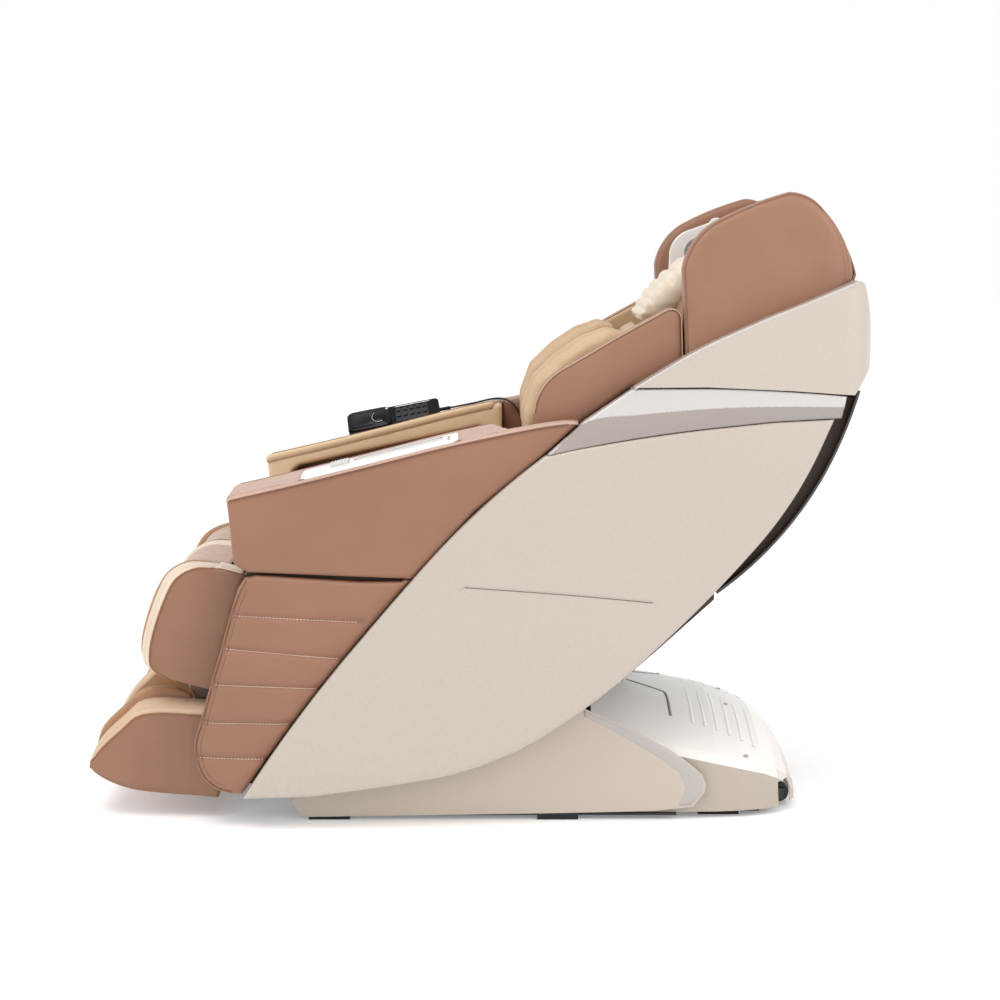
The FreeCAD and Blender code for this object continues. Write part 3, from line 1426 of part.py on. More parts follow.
def air_pump():
    # Hangs from the lower tube behind the back
    tube = back_point(14, TUBE_BEHIND)
    case = box("pump_case", 150, 90, 70, (-280, tube[0] - 45, tube[1] - 12 - PLAY - 70))
    keep(case, "air_pump")


# Build every piece
for side_name, side_hand in SIDES:
    side_frame(side_name, side_hand)
    tray(f"side_shell_{side_name}", SHELL, side_hand)
    tray(f"stripe_panel_{side_name}", STRIPE, side_hand)
    armrest(side_name, side_hand)
    apron(side_name, side_hand)
    guard(side_name, side_hand)
    shoulder_airbag(side_name, side_hand)
    base_side_cover(side_name, side_hand)
    transport_wheel(side_name, side_hand)
    massage_arm(side_name, side_hand)
    for roller_level, roller_way in (("upper", 1), ("lower", -1)):
        roller(side_name, side_hand, roller_level, roller_way)
arm_panel()
seat_cushion()
back_cushion()
boards()
hood()
head_shell()
speaker_panels()
head_pillow()
back_cover()
underside_pan()
cross_tubes()
roller_tracks()
massage_carriage()
recline_actuator()
leg_actuator()
base_frame()
base_feet()
base_rear_cover()
power_inlet()
power_switch()
slide_rails()
control_box()
slide_actuator()
carriage()
legrest_frame()
calf_unit()
foot_unit()
foot_frame()
handset()
handset_keypad()
dock()
cord_gland()
handset_cord()
air_pump()
doc.recompute()

# Nothing is written unless every object and every shape is sound
for thing in doc.Objects:
    if "Invalid" in thing.State or "Error" in thing.State:
        raise RuntimeError(f"{thing.Label}: {thing.State}")
for thing in NODES:
    shape = thing.Shape
    if shape.isNull() or not shape.isValid() or not shape.Solids:
        raise RuntimeError(f"{thing.Label}: its shape is not a valid solid")

os.makedirs("parts", exist_ok=True)
total = Part.makeCompound([thing.Shape for thing in NODES]).BoundBox
print(f"{len(NODES)} nodes; X {total.XMin:.1f} to {total.XMax:.1f}, Y {total.YMin:.1f} to {total.YMax:.1f},"
      f" Z {total.ZMin:.1f} to {total.ZMax:.1f}")
for thing in NODES:
    thing.Shape.exportStep(f"parts/{thing.Label}.step")
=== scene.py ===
import bmesh
import bpy
import math
import numpy as np
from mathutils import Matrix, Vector, noise
from mathutils.bvhtree import BVHTree
from mathutils.geometry import delaunay_2d_cdt


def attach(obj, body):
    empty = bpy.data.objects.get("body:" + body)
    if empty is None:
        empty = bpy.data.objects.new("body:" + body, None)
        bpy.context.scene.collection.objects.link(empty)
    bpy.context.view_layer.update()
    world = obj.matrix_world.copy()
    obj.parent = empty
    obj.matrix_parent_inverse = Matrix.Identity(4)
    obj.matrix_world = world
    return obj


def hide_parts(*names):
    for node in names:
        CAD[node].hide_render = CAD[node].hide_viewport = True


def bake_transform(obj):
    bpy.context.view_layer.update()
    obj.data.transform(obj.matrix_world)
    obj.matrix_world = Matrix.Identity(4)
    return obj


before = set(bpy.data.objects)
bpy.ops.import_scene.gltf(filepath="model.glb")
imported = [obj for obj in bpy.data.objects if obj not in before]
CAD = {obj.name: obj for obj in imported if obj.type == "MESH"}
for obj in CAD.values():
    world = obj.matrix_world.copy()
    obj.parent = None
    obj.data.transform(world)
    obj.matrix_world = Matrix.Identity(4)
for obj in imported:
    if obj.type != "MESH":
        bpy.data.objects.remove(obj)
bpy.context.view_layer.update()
scene = bpy.context.scene
# Outlines and places are given in millimetres, and the scene is in metres
S = 0.001
SIDES = (("left", 1), ("right", -1))


# Materials
def srgb(code):
    values = [int(code[i:i + 2], 16) / 255 for i in (1, 3, 5)]
    return [v / 12.92 if v <= 0.04045 else ((v + 0.055) / 1.055) ** 2.4 for v in values] + [1.0]


def shade(colour, factor):
    return [min(1.0, c * factor) for c in colour[:3]] + [1.0]


class Shader:
    """A node material built up call by call; every texture reads object coordinates in metres."""

    def __init__(self, name, code="#FFFFFF"):
        self.material = bpy.data.materials.new(name)
        self.material.use_nodes = True
        self.tree = self.material.node_tree
        self.surface = self.tree.nodes["Principled BSDF"]
        self.place = self.node("ShaderNodeTexCoord").outputs["Object"]
        self.base = srgb(code)

    def node(self, kind, **settings):
        made = self.tree.nodes.new(kind)
        for key, value in settings.items():
            setattr(made, key, value)
        return made

    def link(self, a, b):
        self.tree.links.new(a, b)

    def noise(self, scale, detail=3.0, rough=0.5, stretch=None):
        made = self.node("ShaderNodeTexNoise")
        made.inputs["Scale"].default_value = scale
        made.inputs["Detail"].default_value = detail
        made.inputs["Roughness"].default_value = rough
        place = self.place
        if stretch:
            mapping = self.node("ShaderNodeMapping")
            mapping.inputs["Scale"].default_value = stretch
            self.link(place, mapping.inputs["Vector"])
            place = mapping.outputs["Vector"]
        self.link(place, made.inputs["Vector"])
        return made.outputs["Fac"]

    def cells(self, scale):
        made = self.node("ShaderNodeTexVoronoi")
        made.inputs["Scale"].default_value = scale
        self.link(self.place, made.inputs["Vector"])
        return made.outputs["Distance"]

    def axis(self, source, letter):
        split = self.node("ShaderNodeSeparateXYZ")
        self.link(source, split.inputs[0])
        return split.outputs[letter]

    def remap(self, value, low, high, to_low, to_high):
        made = self.node("ShaderNodeMapRange")
        for key, number in zip(("From Min", "From Max", "To Min", "To Max"), (low, high, to_low, to_high)):
            made.inputs[key].default_value = number
        self.link(value, made.inputs["Value"])
        return made.outputs["Result"]

    def spread(self, value, to_low=0.0, to_high=1.0):
        # A noise lies mostly between 0.3 and 0.7
        return self.remap(value, 0.3, 0.7, to_low, to_high)

    def mix(self, factor, a, b):
        made = self.node("ShaderNodeMix", data_type="RGBA")
        self.link(factor, made.inputs["Factor"])
        for key, value in (("A", a), ("B", b)):
            socket = next(s for s in made.inputs if s.name == key and s.type == "RGBA")
            if isinstance(value, list):
                socket.default_value = value
            else:
                self.link(value, socket)
        return next(s for s in made.outputs if s.type == "RGBA")

    def mottled(self, value, dark, light):
        return self.mix(self.spread(value), shade(self.base, dark), shade(self.base, light))

    def lighter_on_edges(self, colour, low, high, amount, light):
        # Lighter along the edges
        edge = self.node("ShaderNodeNewGeometry").outputs["Pointiness"]
        return self.mix(self.remap(edge, low, high, 0.0, amount), colour, shade(self.base, light))

    def bump(self, height, distance, strength=1.0, below=None):
        made = self.node("ShaderNodeBump")
        made.inputs["Distance"].default_value = distance
        made.inputs["Strength"].default_value = strength
        self.link(height, made.inputs["Height"])
        if below:
            self.link(below, made.inputs["Normal"])
        return made.outputs["Normal"]

    def set(self, **values):
        for key, value in values.items():
            socket = self.surface.inputs[key.replace("_", " ")]
            if isinstance(value, (int, float, list, tuple)):
                socket.default_value = value
            else:
                self.link(value, socket)
        return self.material


def leather(name, code, rough=0.46, crease=0.35, sheen=0.0):
    s = Shader(name, code)
    colour = s.lighter_on_edges(s.mottled(s.noise(7.0, 4.0), 0.94, 1.05), 0.52, 0.6, 0.35, 1.22)
    grain = s.bump(s.noise(260.0, 4.0), 0.00035, 0.4, s.bump(s.cells(820.0), 0.00022, 0.55))
    folds = s.noise(22.0, 3.0, 0.55, (1.0, 1.0, 0.45))
    return s.set(Base_Color=colour, Roughness=s.spread(s.noise(60.0, 3.0), rough - 0.06, rough + 0.07),
                 Normal=s.bump(folds, 0.0022, crease, grain), Specular_IOR_Level=0.42, Sheen_Weight=sheen,
                 Sheen_Roughness=0.5)


def moulded(name, code, rough=0.3, coat=0.25, texture=0.0):
    s = Shader(name, code)
    colour = s.lighter_on_edges(s.mottled(s.noise(3.5, 2.0), 0.995, 1.005), 0.53, 0.62, 0.3, 1.1)
    relief = s.bump(s.noise(1400.0 if texture else 5.0, 2.0), 0.0001 if texture else 0.0003, texture or 0.03)
    return s.set(Base_Color=colour, Roughness=s.spread(s.noise(45.0, 4.0), rough - 0.02, rough + 0.03),
                 Normal=relief, Coat_Weight=coat, Coat_Roughness=0.12)


def silver_with_painted_reflection(name, code_front, code_rear, y_front, y_rear):
    # Metallic paint with a painted reflection: its colour changes from the front towards the rear
    s = Shader(name)
    along = s.remap(s.axis(s.place, "Y"), y_front, y_rear, 0.0, 1.0)
    flake = s.noise(2400.0, 2.0)
    return s.set(Base_Color=s.mix(along, srgb(code_front), srgb(code_rear)), Metallic=0.25,
                 Roughness=s.spread(flake, 0.3, 0.4), Normal=s.bump(flake, 0.00003, 0.4), Coat_Weight=0.3,
                 Coat_Roughness=0.15)


def shaded_by_facing(name, code_shaded_walls, code_lit_top):
    # Moulded plastic with painted light: the faces that look up are painted lighter, and the walls darker and
    # warmer as painted shade
    s = Shader(name)
    up = s.remap(s.axis(s.node("ShaderNodeTexCoord").outputs["Normal"], "Z"), 0.3, 0.75, 0.0, 1.0)
    speck = s.noise(1400.0, 2.0)
    return s.set(Base_Color=s.mix(up, srgb(code_shaded_walls), srgb(code_lit_top)), Normal=s.bump(speck, 0.0001, 0.25),
                 Roughness=s.spread(speck, 0.3, 0.4), Coat_Weight=0.2)


def gloss(name, code):
    s = Shader(name, code)
    return s.set(Base_Color=s.mix(s.noise(9.0), s.base, shade(s.base, 1.3)), Specular_IOR_Level=0.16,
                 Roughness=s.spread(s.noise(60.0, 3.0), 0.22, 0.3))


def metal(name, code, rough=0.35, metallic=1.0, brushed=(1.0, 1.0, 1.0)):
    s = Shader(name, code)
    streak = s.noise(260.0, 5.0, 0.6, brushed)
    return s.set(Base_Color=s.mottled(streak, 0.9, 1.08), Metallic=metallic,
                 Roughness=s.spread(streak, rough - 0.07, rough + 0.1), Normal=s.bump(streak, 0.0001, 0.3))


def rubber(name, code, rough=0.75):
    s = Shader(name, code)
    return s.set(Base_Color=s.mottled(s.noise(40.0, 4.0), 0.8, 1.25),
                 Roughness=s.spread(s.noise(120.0), rough - 0.1, rough + 0.08),
                 Normal=s.bump(s.noise(900.0, 3.0), 0.00012, 0.5))


def plywood(name, code):
    s = Shader(name, code)
    grain = s.noise(18.0, 6.0, 0.65, (1.0, 0.6, 9.0))
    return s.set(Base_Color=s.mottled(grain, 0.72, 1.12), Roughness=s.spread(grain, 0.55, 0.75),
                 Normal=s.bump(grain, 0.0004, 0.5))


def lining(name, code):
    # Shiny woven lining of the wells; in the dark colours it is painted shade, in the armrest channels and
    # behind the ankles
    s = Shader(name, code)
    weave = s.node("ShaderNodeTexWave", wave_type="BANDS", bands_direction="DIAGONAL")
    weave.inputs["Scale"].default_value = 900.0
    s.link(s.place, weave.inputs["Vector"])
    folds = s.bump(s.noise(35.0, 3.0), 0.002, 0.5)
    return s.set(Base_Color=s.mottled(s.noise(14.0, 3.0), 0.8, 1.15), Sheen_Weight=0.3,
                 Roughness=s.spread(s.noise(80.0), 0.28, 0.42),
                 Normal=s.bump(weave.outputs["Fac"], 0.0001, 0.4, folds))


BROWN = leather("brown_leather", "#8A634D", 0.44, 0.3)
BROWN_PUFF = leather("brown_leather_soft", "#845C46", 0.42, 0.6)
DARK_PIPING = leather("brown_piping", "#74503D", 0.4, 0.1)
TAN = leather("tan_leather", "#B79A78", 0.44, 0.4)
ARM_TAN = leather("armrest_lining", "#CCB08F", 0.44, 0.4)
TAN_PIPING = leather("tan_piping", "#8C6240", 0.42, 0.1)
CREAM = leather("cream_leather", "#CDBBA8", 0.45, 0.4)
FOOT_CREAM = leather("foot_strip_leather", "#BFA389", 0.45, 0.4)
# Guard piping: pale as a painted highlight along the rim
PIPING_PAINTED_HIGHLIGHT = leather("pale_piping", "#A98B76", 0.42, 0.1)
# Armrest tops: the brown leather painted lighter and pinker, as painted light from above
TOP_PAINTED_LIGHT = leather("armrest_top_leather", "#AE9081", 0.46, 0.3)
PILLOW = leather("pillow_leather", "#D2C3B0", 0.5, 0.3, 0.1)
GOLD = lining("well_lining", "#9A6F4A")
# Painted shade: dark walls for the forearm channel's recess
CHANNEL_SHADE = lining("channel_lining", "#4B3529")
# Painted shade: the ankle lining is dark brown where it lies in shadow
ANKLE_SHADE = lining("ankle_lining_cloth", "#513826")
THREAD_LIGHT = rubber("light_thread", "#EBDCCB", 0.6)
THREAD_TAN = rubber("tan_thread", "#B98F64", 0.6)
THREAD_PINK = rubber("pink_thread", "#BDA292", 0.6)
ICON_GREY = rubber("icon_grey", "#8F8A85", 0.5)
SHELL_PAINT = moulded("ivory_shell", "#B0A59B", 0.27, 0.3)
# Lighter ivory for the head shell's rim bead and the stripe's upper facet: painted highlight
RIM_PAINTED_HIGHLIGHT = moulded("ivory_rim", "#B8B4B1", 0.25, 0.35)
# Stripe's lower facet: the silver painted darker as painted shade, with a painted reflection along it
STRIPE_SHADED_SILVER = silver_with_painted_reflection("silver_stripe", "#998C86", "#918A86", 0.2, 0.62)
BASE_PAINT = moulded("ivory_base", "#B4A79A", 0.34, 0.2, 0.25)
# Rear cover paint: ivory with painted light, lighter on the faces that look up and darker on the walls
REAR_PAINT_LIT_TOP = shaded_by_facing("ivory_rear", "#AB9F93", "#EFEAE5")
BAND_PAINT = moulded("base_band", "#ABA49F", 0.38, 0.1, 0.3)
WHITE_GLOSS = moulded("white_gloss", "#D6D3D0", 0.2, 0.5)
GREY_INSERT = moulded("grey_insert", "#B9B7B5", 0.3, 0.3)
BACK_BLACK = moulded("back_panel", "#3F3A37", 0.5, 0.05, 0.45)
BLACK_GLOSS = gloss("black_gloss", "#0B0A0B")
SCREEN_GLASS = gloss("screen_glass", "#15161A")
BLACK_PLASTIC = moulded("black_plastic", "#1B1A1B", 0.42, 0.05, 0.35)
DARK_SLIT = moulded("dark_slit", "#6B625A", 0.3, 0.2)
KEY_GREY = rubber("key_rubber", "#1E1E20", 0.5)
LEGEND = rubber("legend", "#C9C9CC", 0.5)
RUBBER = rubber("black_rubber", "#141414")
CORD_BLACK = rubber("cord_jacket", "#101011", 0.45)
STEEL_BLACK = metal("black_steel", "#26272A", 0.45, 0.3)
STEEL = metal("bright_steel", "#B9BBBE", 0.28, 1.0, (1.0, 1.0, 12.0))
GREY_METAL = metal("actuator_grey", "#5B5E63", 0.4, 0.5)
ROLLER = moulded("roller_plastic", "#2B2727", 0.35, 0.15)
PLY = plywood("plywood", "#B28C5E")
# Painted shade: the side frames are dark so that the gaps where they show look shaded
PLY_PAINTED_SHADE = plywood("dark_plywood", "#3A2C22")
GRILLE = metal("grille_metal", "#A9A6A3", 0.4, 0.4)
GRILLE_DARK = rubber("grille_dark", "#4A4846", 0.6)
# Painted shade: grey for the grooves on the base's rear cover
GROOVE_PAINTED_SHADE = moulded("groove_grey", "#8B8682", 0.4, 0.1, 0.3)

CAD_LOOKS = (
    # Side frames in dark plywood: painted shade for the gaps they show through
    (PLY_PAINTED_SHADE, "side_frame_left side_frame_right"),
    (PLY, "cushion_boards"),
    (BACK_BLACK, "back_cover underside_pan"),
    (STEEL_BLACK, "cross_tubes massage_carriage base_frame carriage legrest_frame foot_frame"),
    (STEEL_BLACK, "massage_arm_left massage_arm_right"),
    (STEEL, "roller_tracks slide_rails recline_actuator_rod leg_actuator_rod"),
    (GREY_METAL, "recline_actuator_tube leg_actuator_tube slide_actuator air_pump control_box"),
    (RUBBER, "base_feet cord_gland transport_wheel_left transport_wheel_right"),
    (ROLLER, "roller_upper_left roller_upper_right roller_lower_left roller_lower_right"),
    (BLACK_PLASTIC, "handset_cradle power_inlet power_switch"),
    (KEY_GREY, "handset_keypad"),
    (BLACK_GLOSS, "handset_body"),
    (SHELL_PAINT, "head_shell"),
    # Rear cover: painted light, lighter on top and darker on the walls
    (REAR_PAINT_LIT_TOP, "base_rear_cover"),
    (BASE_PAINT, "base_side_cover_left base_side_cover_right"),
)
for look, names in CAD_LOOKS:
    for name in names.split():
        CAD[name].data.materials.clear()
        CAD[name].data.materials.append(look)

# Soft edges on the moulded and sheet pieces that the frame brings
EDGE_WIDTHS = (
    (0.0012, "head_shell base_rear_cover base_side_cover_left base_side_cover_right back_cover handset_body"),
    (0.0006, "side_frame_left side_frame_right underside_pan handset_cradle power_inlet power_switch"),
    (0.0006, "control_box slide_actuator air_pump base_frame base_feet cord_gland"),
)
for width, names in EDGE_WIDTHS:
    for name in names.split():
        edge = CAD[name].modifiers.new("edges", "BEVEL")
        edge.width = width
        edge.segments = 2
        edge.limit_method = "ANGLE"
        edge.angle_limit = math.radians(35)
        edge.harden_normals = False
        weighted = CAD[name].modifiers.new("normals", "WEIGHTED_NORMAL")
        weighted.keep_sharp = True


# Outlines in the side view: pairs are corners, and a third value marks the middle of an arc
def arc_points(a, b, c, step):
    ax, ay, bx, by, cx, cy = *a[:2], *b[:2], *c[:2]
    d = 2 * (ax * (by - cy) + bx * (cy - ay) + cx * (ay - by))
    ux = ((ax**2 + ay**2) * (by - cy) + (bx**2 + by**2) * (cy - ay) + (cx**2 + cy**2) * (ay - by)) / d
    uy = ((ax**2 + ay**2) * (cx - bx) + (bx**2 + by**2) * (ax - cx) + (cx**2 + cy**2) * (bx - ax)) / d
    r = math.hypot(ax - ux, ay - uy)
    start, middle, end = (math.atan2(p[1] - uy, p[0] - ux) for p in (a, b, c))
    full = 2 * math.pi
    sweep = (end - start) % full
    if (middle - start) % full > sweep:
        sweep -= full
    count = max(2, int(abs(sweep) * r / step))
    return [(ux + r * math.cos(start + sweep * i / count), uy + r * math.sin(start + sweep * i / count))
            for i in range(count)]


def trace(path, step=7.0, closed=True):
    points = list(path)
    if closed:
        first = next(i for i, p in enumerate(points) if len(p) == 2)
        points = points[first:] + points[:first] + [points[first]]
    made = []
    here, middle = points[0], None
    for point in points[1:]:
        if len(point) == 3:
            middle = point
            continue
        if middle is None:
            count = max(1, int(math.dist(here, point) / step))
            made += [(here[0] + (point[0] - here[0]) * i / count, here[1] + (point[1] - here[1]) * i / count)
                     for i in range(count)]
        else:
            made += arc_points(here, middle, point, step)
        here, middle = point, None
    if not closed:
        made.append(here)
    return np.array(made, float)


def curve(points, step=6.0):
    # A smooth line through the points, in two or three dimensions
    p = np.array(points, float)
    p = np.vstack([2 * p[0] - p[1], p, 2 * p[-1] - p[-2]])
    made = []
    for a, b, c, d in zip(p, p[1:], p[2:], p[3:]):
        count = max(1, int(np.linalg.norm(c - b) / step))
        for i in range(count):
            t = i / count
            made.append(0.5 * (2 * b + (c - a) * t + (2 * a - 5 * b + 4 * c - d) * t**2
                               + (3 * b - a - 3 * c + d) * t**3))
    made.append(p[-2])
    return np.array(made)


def spaced(line, step):
    # The line's points at even spacing, ends kept
    line = np.array(line, float)
    lengths = np.linalg.norm(np.diff(line, axis=0), axis=1)
    along = np.concatenate([[0], np.cumsum(lengths)])
    count = max(1, int(round(along[-1] / step)))
    where = np.linspace(0, along[-1], count + 1)
    return np.stack([np.interp(where, along, line[:, k]) for k in range(line.shape[1])], axis=1)


def rounded(loop, radius):
    # Corners of a closed outline of straight runs, rounded
    made = []
    count = len(loop)
    for i in range(count):
        a, b, c = (np.array(loop[(i + k) % count][:2], float) for k in (-1, 0, 1))
        u, v = (a - b) / np.linalg.norm(a - b), (c - b) / np.linalg.norm(c - b)
        angle = math.acos(max(-1, min(1, float(u @ v))))
        reach = min(radius / math.tan(angle / 2), 0.45 * np.linalg.norm(a - b), 0.45 * np.linalg.norm(c - b))
        start, end = b + u * reach, b + v * reach
        bow = b - (start + end) / 2
        r = reach * math.tan(angle / 2)
        middle = b - bow / np.linalg.norm(bow) * (r / math.sin(angle / 2) - r)
        made += [tuple(start), (*middle, 0), tuple(end)]
    return made


def to_line(points, line, closed=False):
    # Distance of each point from a line of points
    a = np.array(line, float)
    b = np.roll(a, -1, 0) if closed else a[1:]
    a = a if closed else a[:-1]
    best = np.full(len(points), 1e9)
    run = b - a
    size = np.maximum((run**2).sum(1), 1e-9)
    for i in range(len(a)):
        t = np.clip(((points - a[i]) @ run[i]) / size[i], 0, 1)
        best = np.minimum(best, np.linalg.norm(points - a[i] - t[:, None] * run[i], axis=1))
    return best


def to_lines(points, lines):
    return np.min([to_line(points, line) for line in lines], axis=0)


def within(points, loop):
    x, y = points[:, 0], points[:, 1]
    found = np.zeros(len(points), bool)
    for (x0, y0), (x1, y1) in zip(loop, np.roll(loop, -1, 0)):
        if y0 != y1:
            found ^= ((y0 > y) != (y1 > y)) & (x < (x1 - x0) * (y - y0) / (y1 - y0) + x0)
    return found


def inward(loop, distance):
    run = np.roll(loop, -1, 0) - np.roll(loop, 1, 0)
    run /= np.linalg.norm(run, axis=1)[:, None]
    x, y = loop[:, 0], loop[:, 1]
    area = (x * np.roll(y, -1) - np.roll(x, -1) * y).sum()
    return loop + np.stack([-run[:, 1], run[:, 0]], 1) * (1 if area > 0 else -1) * distance


def pulled(line, middle, distance):
    # The line's points, moved towards one point
    way = np.array(middle) - line
    return line + way / np.linalg.norm(way, axis=1)[:, None] * distance


def headings(line):
    # The direction at each point of a line
    run = np.gradient(line, axis=0)
    return run / np.maximum(np.linalg.norm(run, axis=1), 1e-9)[:, None]


def uneven(x, y, z):
    return noise.fractal(Vector((x, y, z)), 0.8, 2.0, 3)


def soft_square(count, power_x, power_y=None):
    # Points round a unit circle (power 1) or a square with soft corners (less than 1)
    made = []
    for i in range(count):
        angle = 2 * math.pi * i / count
        c, s = math.cos(angle), math.sin(angle)
        made.append((math.copysign(abs(c) ** power_x, c), math.copysign(abs(s) ** (power_y or power_x), s)))
    return made


def bulge(share):
    return math.sin(math.pi * share)


def ramp(value, low, high):
    return min(1, max(0, (value - low) / (high - low)))


# Mesh making
def mesh(name, points, faces, materials, marks=None, smooth=True):
    data = bpy.data.meshes.new(name)
    data.from_pydata([tuple(p) for p in points], [], faces)
    for material in materials:
        data.materials.append(material)
    if marks is not None:
        data.polygons.foreach_set("material_index", marks)
    data.polygons.foreach_set("use_smooth", [smooth] * len(data.polygons))
    data.validate()
    data.update()
    made = bpy.data.objects.new(name, data)
    scene.collection.objects.link(made)
    return made


def tidy_normals(thing):
    work = bmesh.new()
    work.from_mesh(thing.data)
    bmesh.ops.recalc_face_normals(work, faces=work.faces)
    work.to_mesh(thing.data)
    work.free()


def prism(name, loop, x_in, x_out, hand=1, materials=None, roll=6.0, crown=3.0, back_roll=0.0, holes=(),
          raised=None, seams=(), grid=15.0, wall_steps=3, wall_mark=None, belly=90.0):
    """A padded or moulded slab: an outline in the side view, with rolled edges, from x_in out to x_out."""
    loops = [np.array(loop, float)] + [np.array(h, float) for h in holes]

    def depth_of(points):
        return np.min([to_line(points, l, True) for l in loops], axis=0)

    def inside(points):
        found = within(points, loops[0])
        for h in loops[1:]:
            found &= ~within(points, h)
        return found

    # Points near the edges and the seams, then a lattice between them
    low, high = loops[0].min(0), loops[0].max(0)
    extra = []
    widest = max(roll, back_roll)
    for share in (0.08, 0.25, 0.5, 0.8, 1.15):
        for number, l in enumerate(loops):
            ring = inward(l, widest * share * (1 if number == 0 else -1))
            ring = ring[inside(ring)]
            if len(ring):
                extra.append(ring[depth_of(ring) > widest * share * 0.85])
    seam_lines = [np.array(line, float) for line in seams]
    for line in seam_lines:
        run = spaced(line, 5.0)
        across = headings(run)[:, ::-1] * (-1, 1)
        for offset in (0, 1.6, -1.6, 4.0, -4.0, 8.0, -8.0):
            moved = run + across * offset
            moved = moved[inside(moved)]
            if len(moved):
                extra.append(moved[depth_of(moved) > 2.5])
    ys, zs = np.arange(low[0], high[0], grid), np.arange(low[1], high[1], grid)
    lattice = np.stack(np.meshgrid(ys, zs), -1).reshape(-1, 2)
    odd = (np.round((lattice[:, 1] - low[1]) / grid).astype(int) % 2) == 1
    lattice[:, 0] += np.where(odd, grid / 2, 0)
    lattice = lattice[inside(lattice)]
    lattice = lattice[depth_of(lattice) > widest * 1.3 + 2]
    for line in seam_lines:
        lattice = lattice[to_line(lattice, line) > 11]
    inner_points = np.vstack(extra + [lattice]) if len(extra) else lattice
    keys = np.unique(np.round(inner_points / 1.2).astype(int), axis=0, return_index=True)[1]
    all_points = np.vstack(loops + [inner_points[np.sort(keys)]])
    edges, start = [], 0
    for l in loops:
        edges += [(start + i, start + (i + 1) % len(l)) for i in range(len(l))]
        start += len(l)
    made = delaunay_2d_cdt([Vector(p) for p in all_points], edges, [], 0, 1e-4)
    flat = np.array([tuple(v) for v in made[0]])
    index = {old: new for new, olds in enumerate(made[3]) for old in olds}
    tris = np.array([f for f in made[2] if len(f) == 3])
    tris = tris[inside(flat[tris].mean(1))]
    depth = depth_of(flat)

    def height(reach, swell):
        lift = np.where(depth < reach, np.sqrt(np.maximum(reach**2 - (reach - depth) ** 2, 0)), reach)
        return lift + swell * (1 - np.exp(-np.maximum(depth - reach * 0.6, 0) / belly * 2.4))

    level = x_out(flat[:, 0], flat[:, 1]) if callable(x_out) else np.full(len(flat), float(x_out))
    way = 1 if level.max() > x_in else -1
    lift = height(roll, crown) - roll - crown
    if raised is not None:
        lift = lift + raised(flat[:, 0], flat[:, 1], depth)
    outer = level + way * lift
    inner = np.full(len(flat), float(x_in))
    if back_roll:
        inner = x_in + way * (back_roll - np.minimum(height(back_roll, 0), back_roll))
    count = len(flat)
    points = [np.stack([x * hand, flat[:, 0], flat[:, 1]], 1) for x in (outer, inner)]
    faces = [tuple(t) for t in tris] + [tuple(t[::-1] + count) for t in tris]
    marks = [0] * len(tris) + [2] * len(tris)

    # Walls round the outline and round each hole
    total, start = 2 * count, 0
    for l in loops:
        ring = np.array([index[start + i] for i in range(len(l))])
        start += len(l)
        rows = [ring]
        for k in range(1, wall_steps):
            share = k / wall_steps
            x = outer[ring] * (1 - share) + inner[ring] * share
            points.append(np.stack([x * hand, flat[ring, 0], flat[ring, 1]], 1))
            rows.append(np.arange(total, total + len(ring)))
            total += len(ring)
        rows.append(ring + count)
        for upper, lower in zip(rows, rows[1:]):
            for i in range(len(ring)):
                j = (i + 1) % len(ring)
                faces.append((upper[i], lower[i], lower[j], upper[j]))
                marks.append(wall_mark(flat[ring[i]]) if wall_mark else 1)
    made = mesh(name, np.vstack(points) * S, faces, (materials or [BROWN, BROWN, BROWN]), marks)
    tidy_normals(made)
    return made


def capped(name, rings, *materials, marks=None, cap_mark=0, close=True):
    """A closed skin over rings of points, each with the same count, and flat ends."""
    rings = [np.array(r, float) for r in rings]
    m = len(rings[0])
    points, faces, face_marks = list(np.vstack(rings)), [], []
    for i in range(len(rings) - 1):
        for j in range(m):
            l = (j + 1) % m
            faces.append((i * m + j, i * m + l, (i + 1) * m + l, (i + 1) * m + j))
            face_marks.append(marks[j] if marks is not None else 0)
    if close:
        last = (len(rings) - 1) * m
        faces += [tuple(reversed(range(m))), tuple(range(last, last + m))]
        face_marks += [cap_mark, cap_mark]
    made = mesh(name, np.array(points) * S, faces, materials, face_marks)
    tidy_normals(made)
    return made


def cast(thing, points, way, lift=0.0):
    # Points laid onto a surface along a direction
    tree = BVHTree.FromObject(thing, bpy.context.evaluated_depsgraph_get())
    way = Vector(way).normalized()
    made = []
    for p in points:
        hit = tree.ray_cast(Vector(p) * S - way * 0.3, way)[0]
        if hit is not None:
            made.append(np.array(hit - way * lift * S) / S)
    return np.array(made)


def on_side(thing, line, hand, lift=0.3):
    return cast(thing, [(390 * hand, y, z) for y, z in line], (-hand, 0, 0), lift)


def stands_for(thing, body, slot, *nodes, fill=None):
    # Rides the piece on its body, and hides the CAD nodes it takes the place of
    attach(thing, body)
    if nodes:
        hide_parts(*nodes)
    return thing


def on_seat(thing, *nodes, slot="leather_brown", fill=None):
    return stands_for(thing, "seat_body", slot, *nodes, fill=fill)


def curve_object(name, kind, places, radius, material, smooth):
    data = bpy.data.curves.new(name, "CURVE")
    data.dimensions = "3D"
    data.bevel_depth = radius * S
    data.bevel_resolution = smooth
    line = data.splines.new(kind)
    line.points.add(len(places) - 1)
    for point, place in zip(line.points, places):
        point.co = (*(np.array(place) * S), 1)
    data.materials.append(material)
    made = bpy.data.objects.new(name, data)
    scene.collection.objects.link(made)
    return made


def cord_of(name, line, radius, material, body="seat_body", slot="leather_brown", closed=False):
    # Piping: a round edge along a line
    made = curve_object(name, "POLY", line, radius, material, 2)
    made.data.use_fill_caps = True
    made.data.splines[0].use_cyclic_u = closed
    return stands_for(made, body, slot)


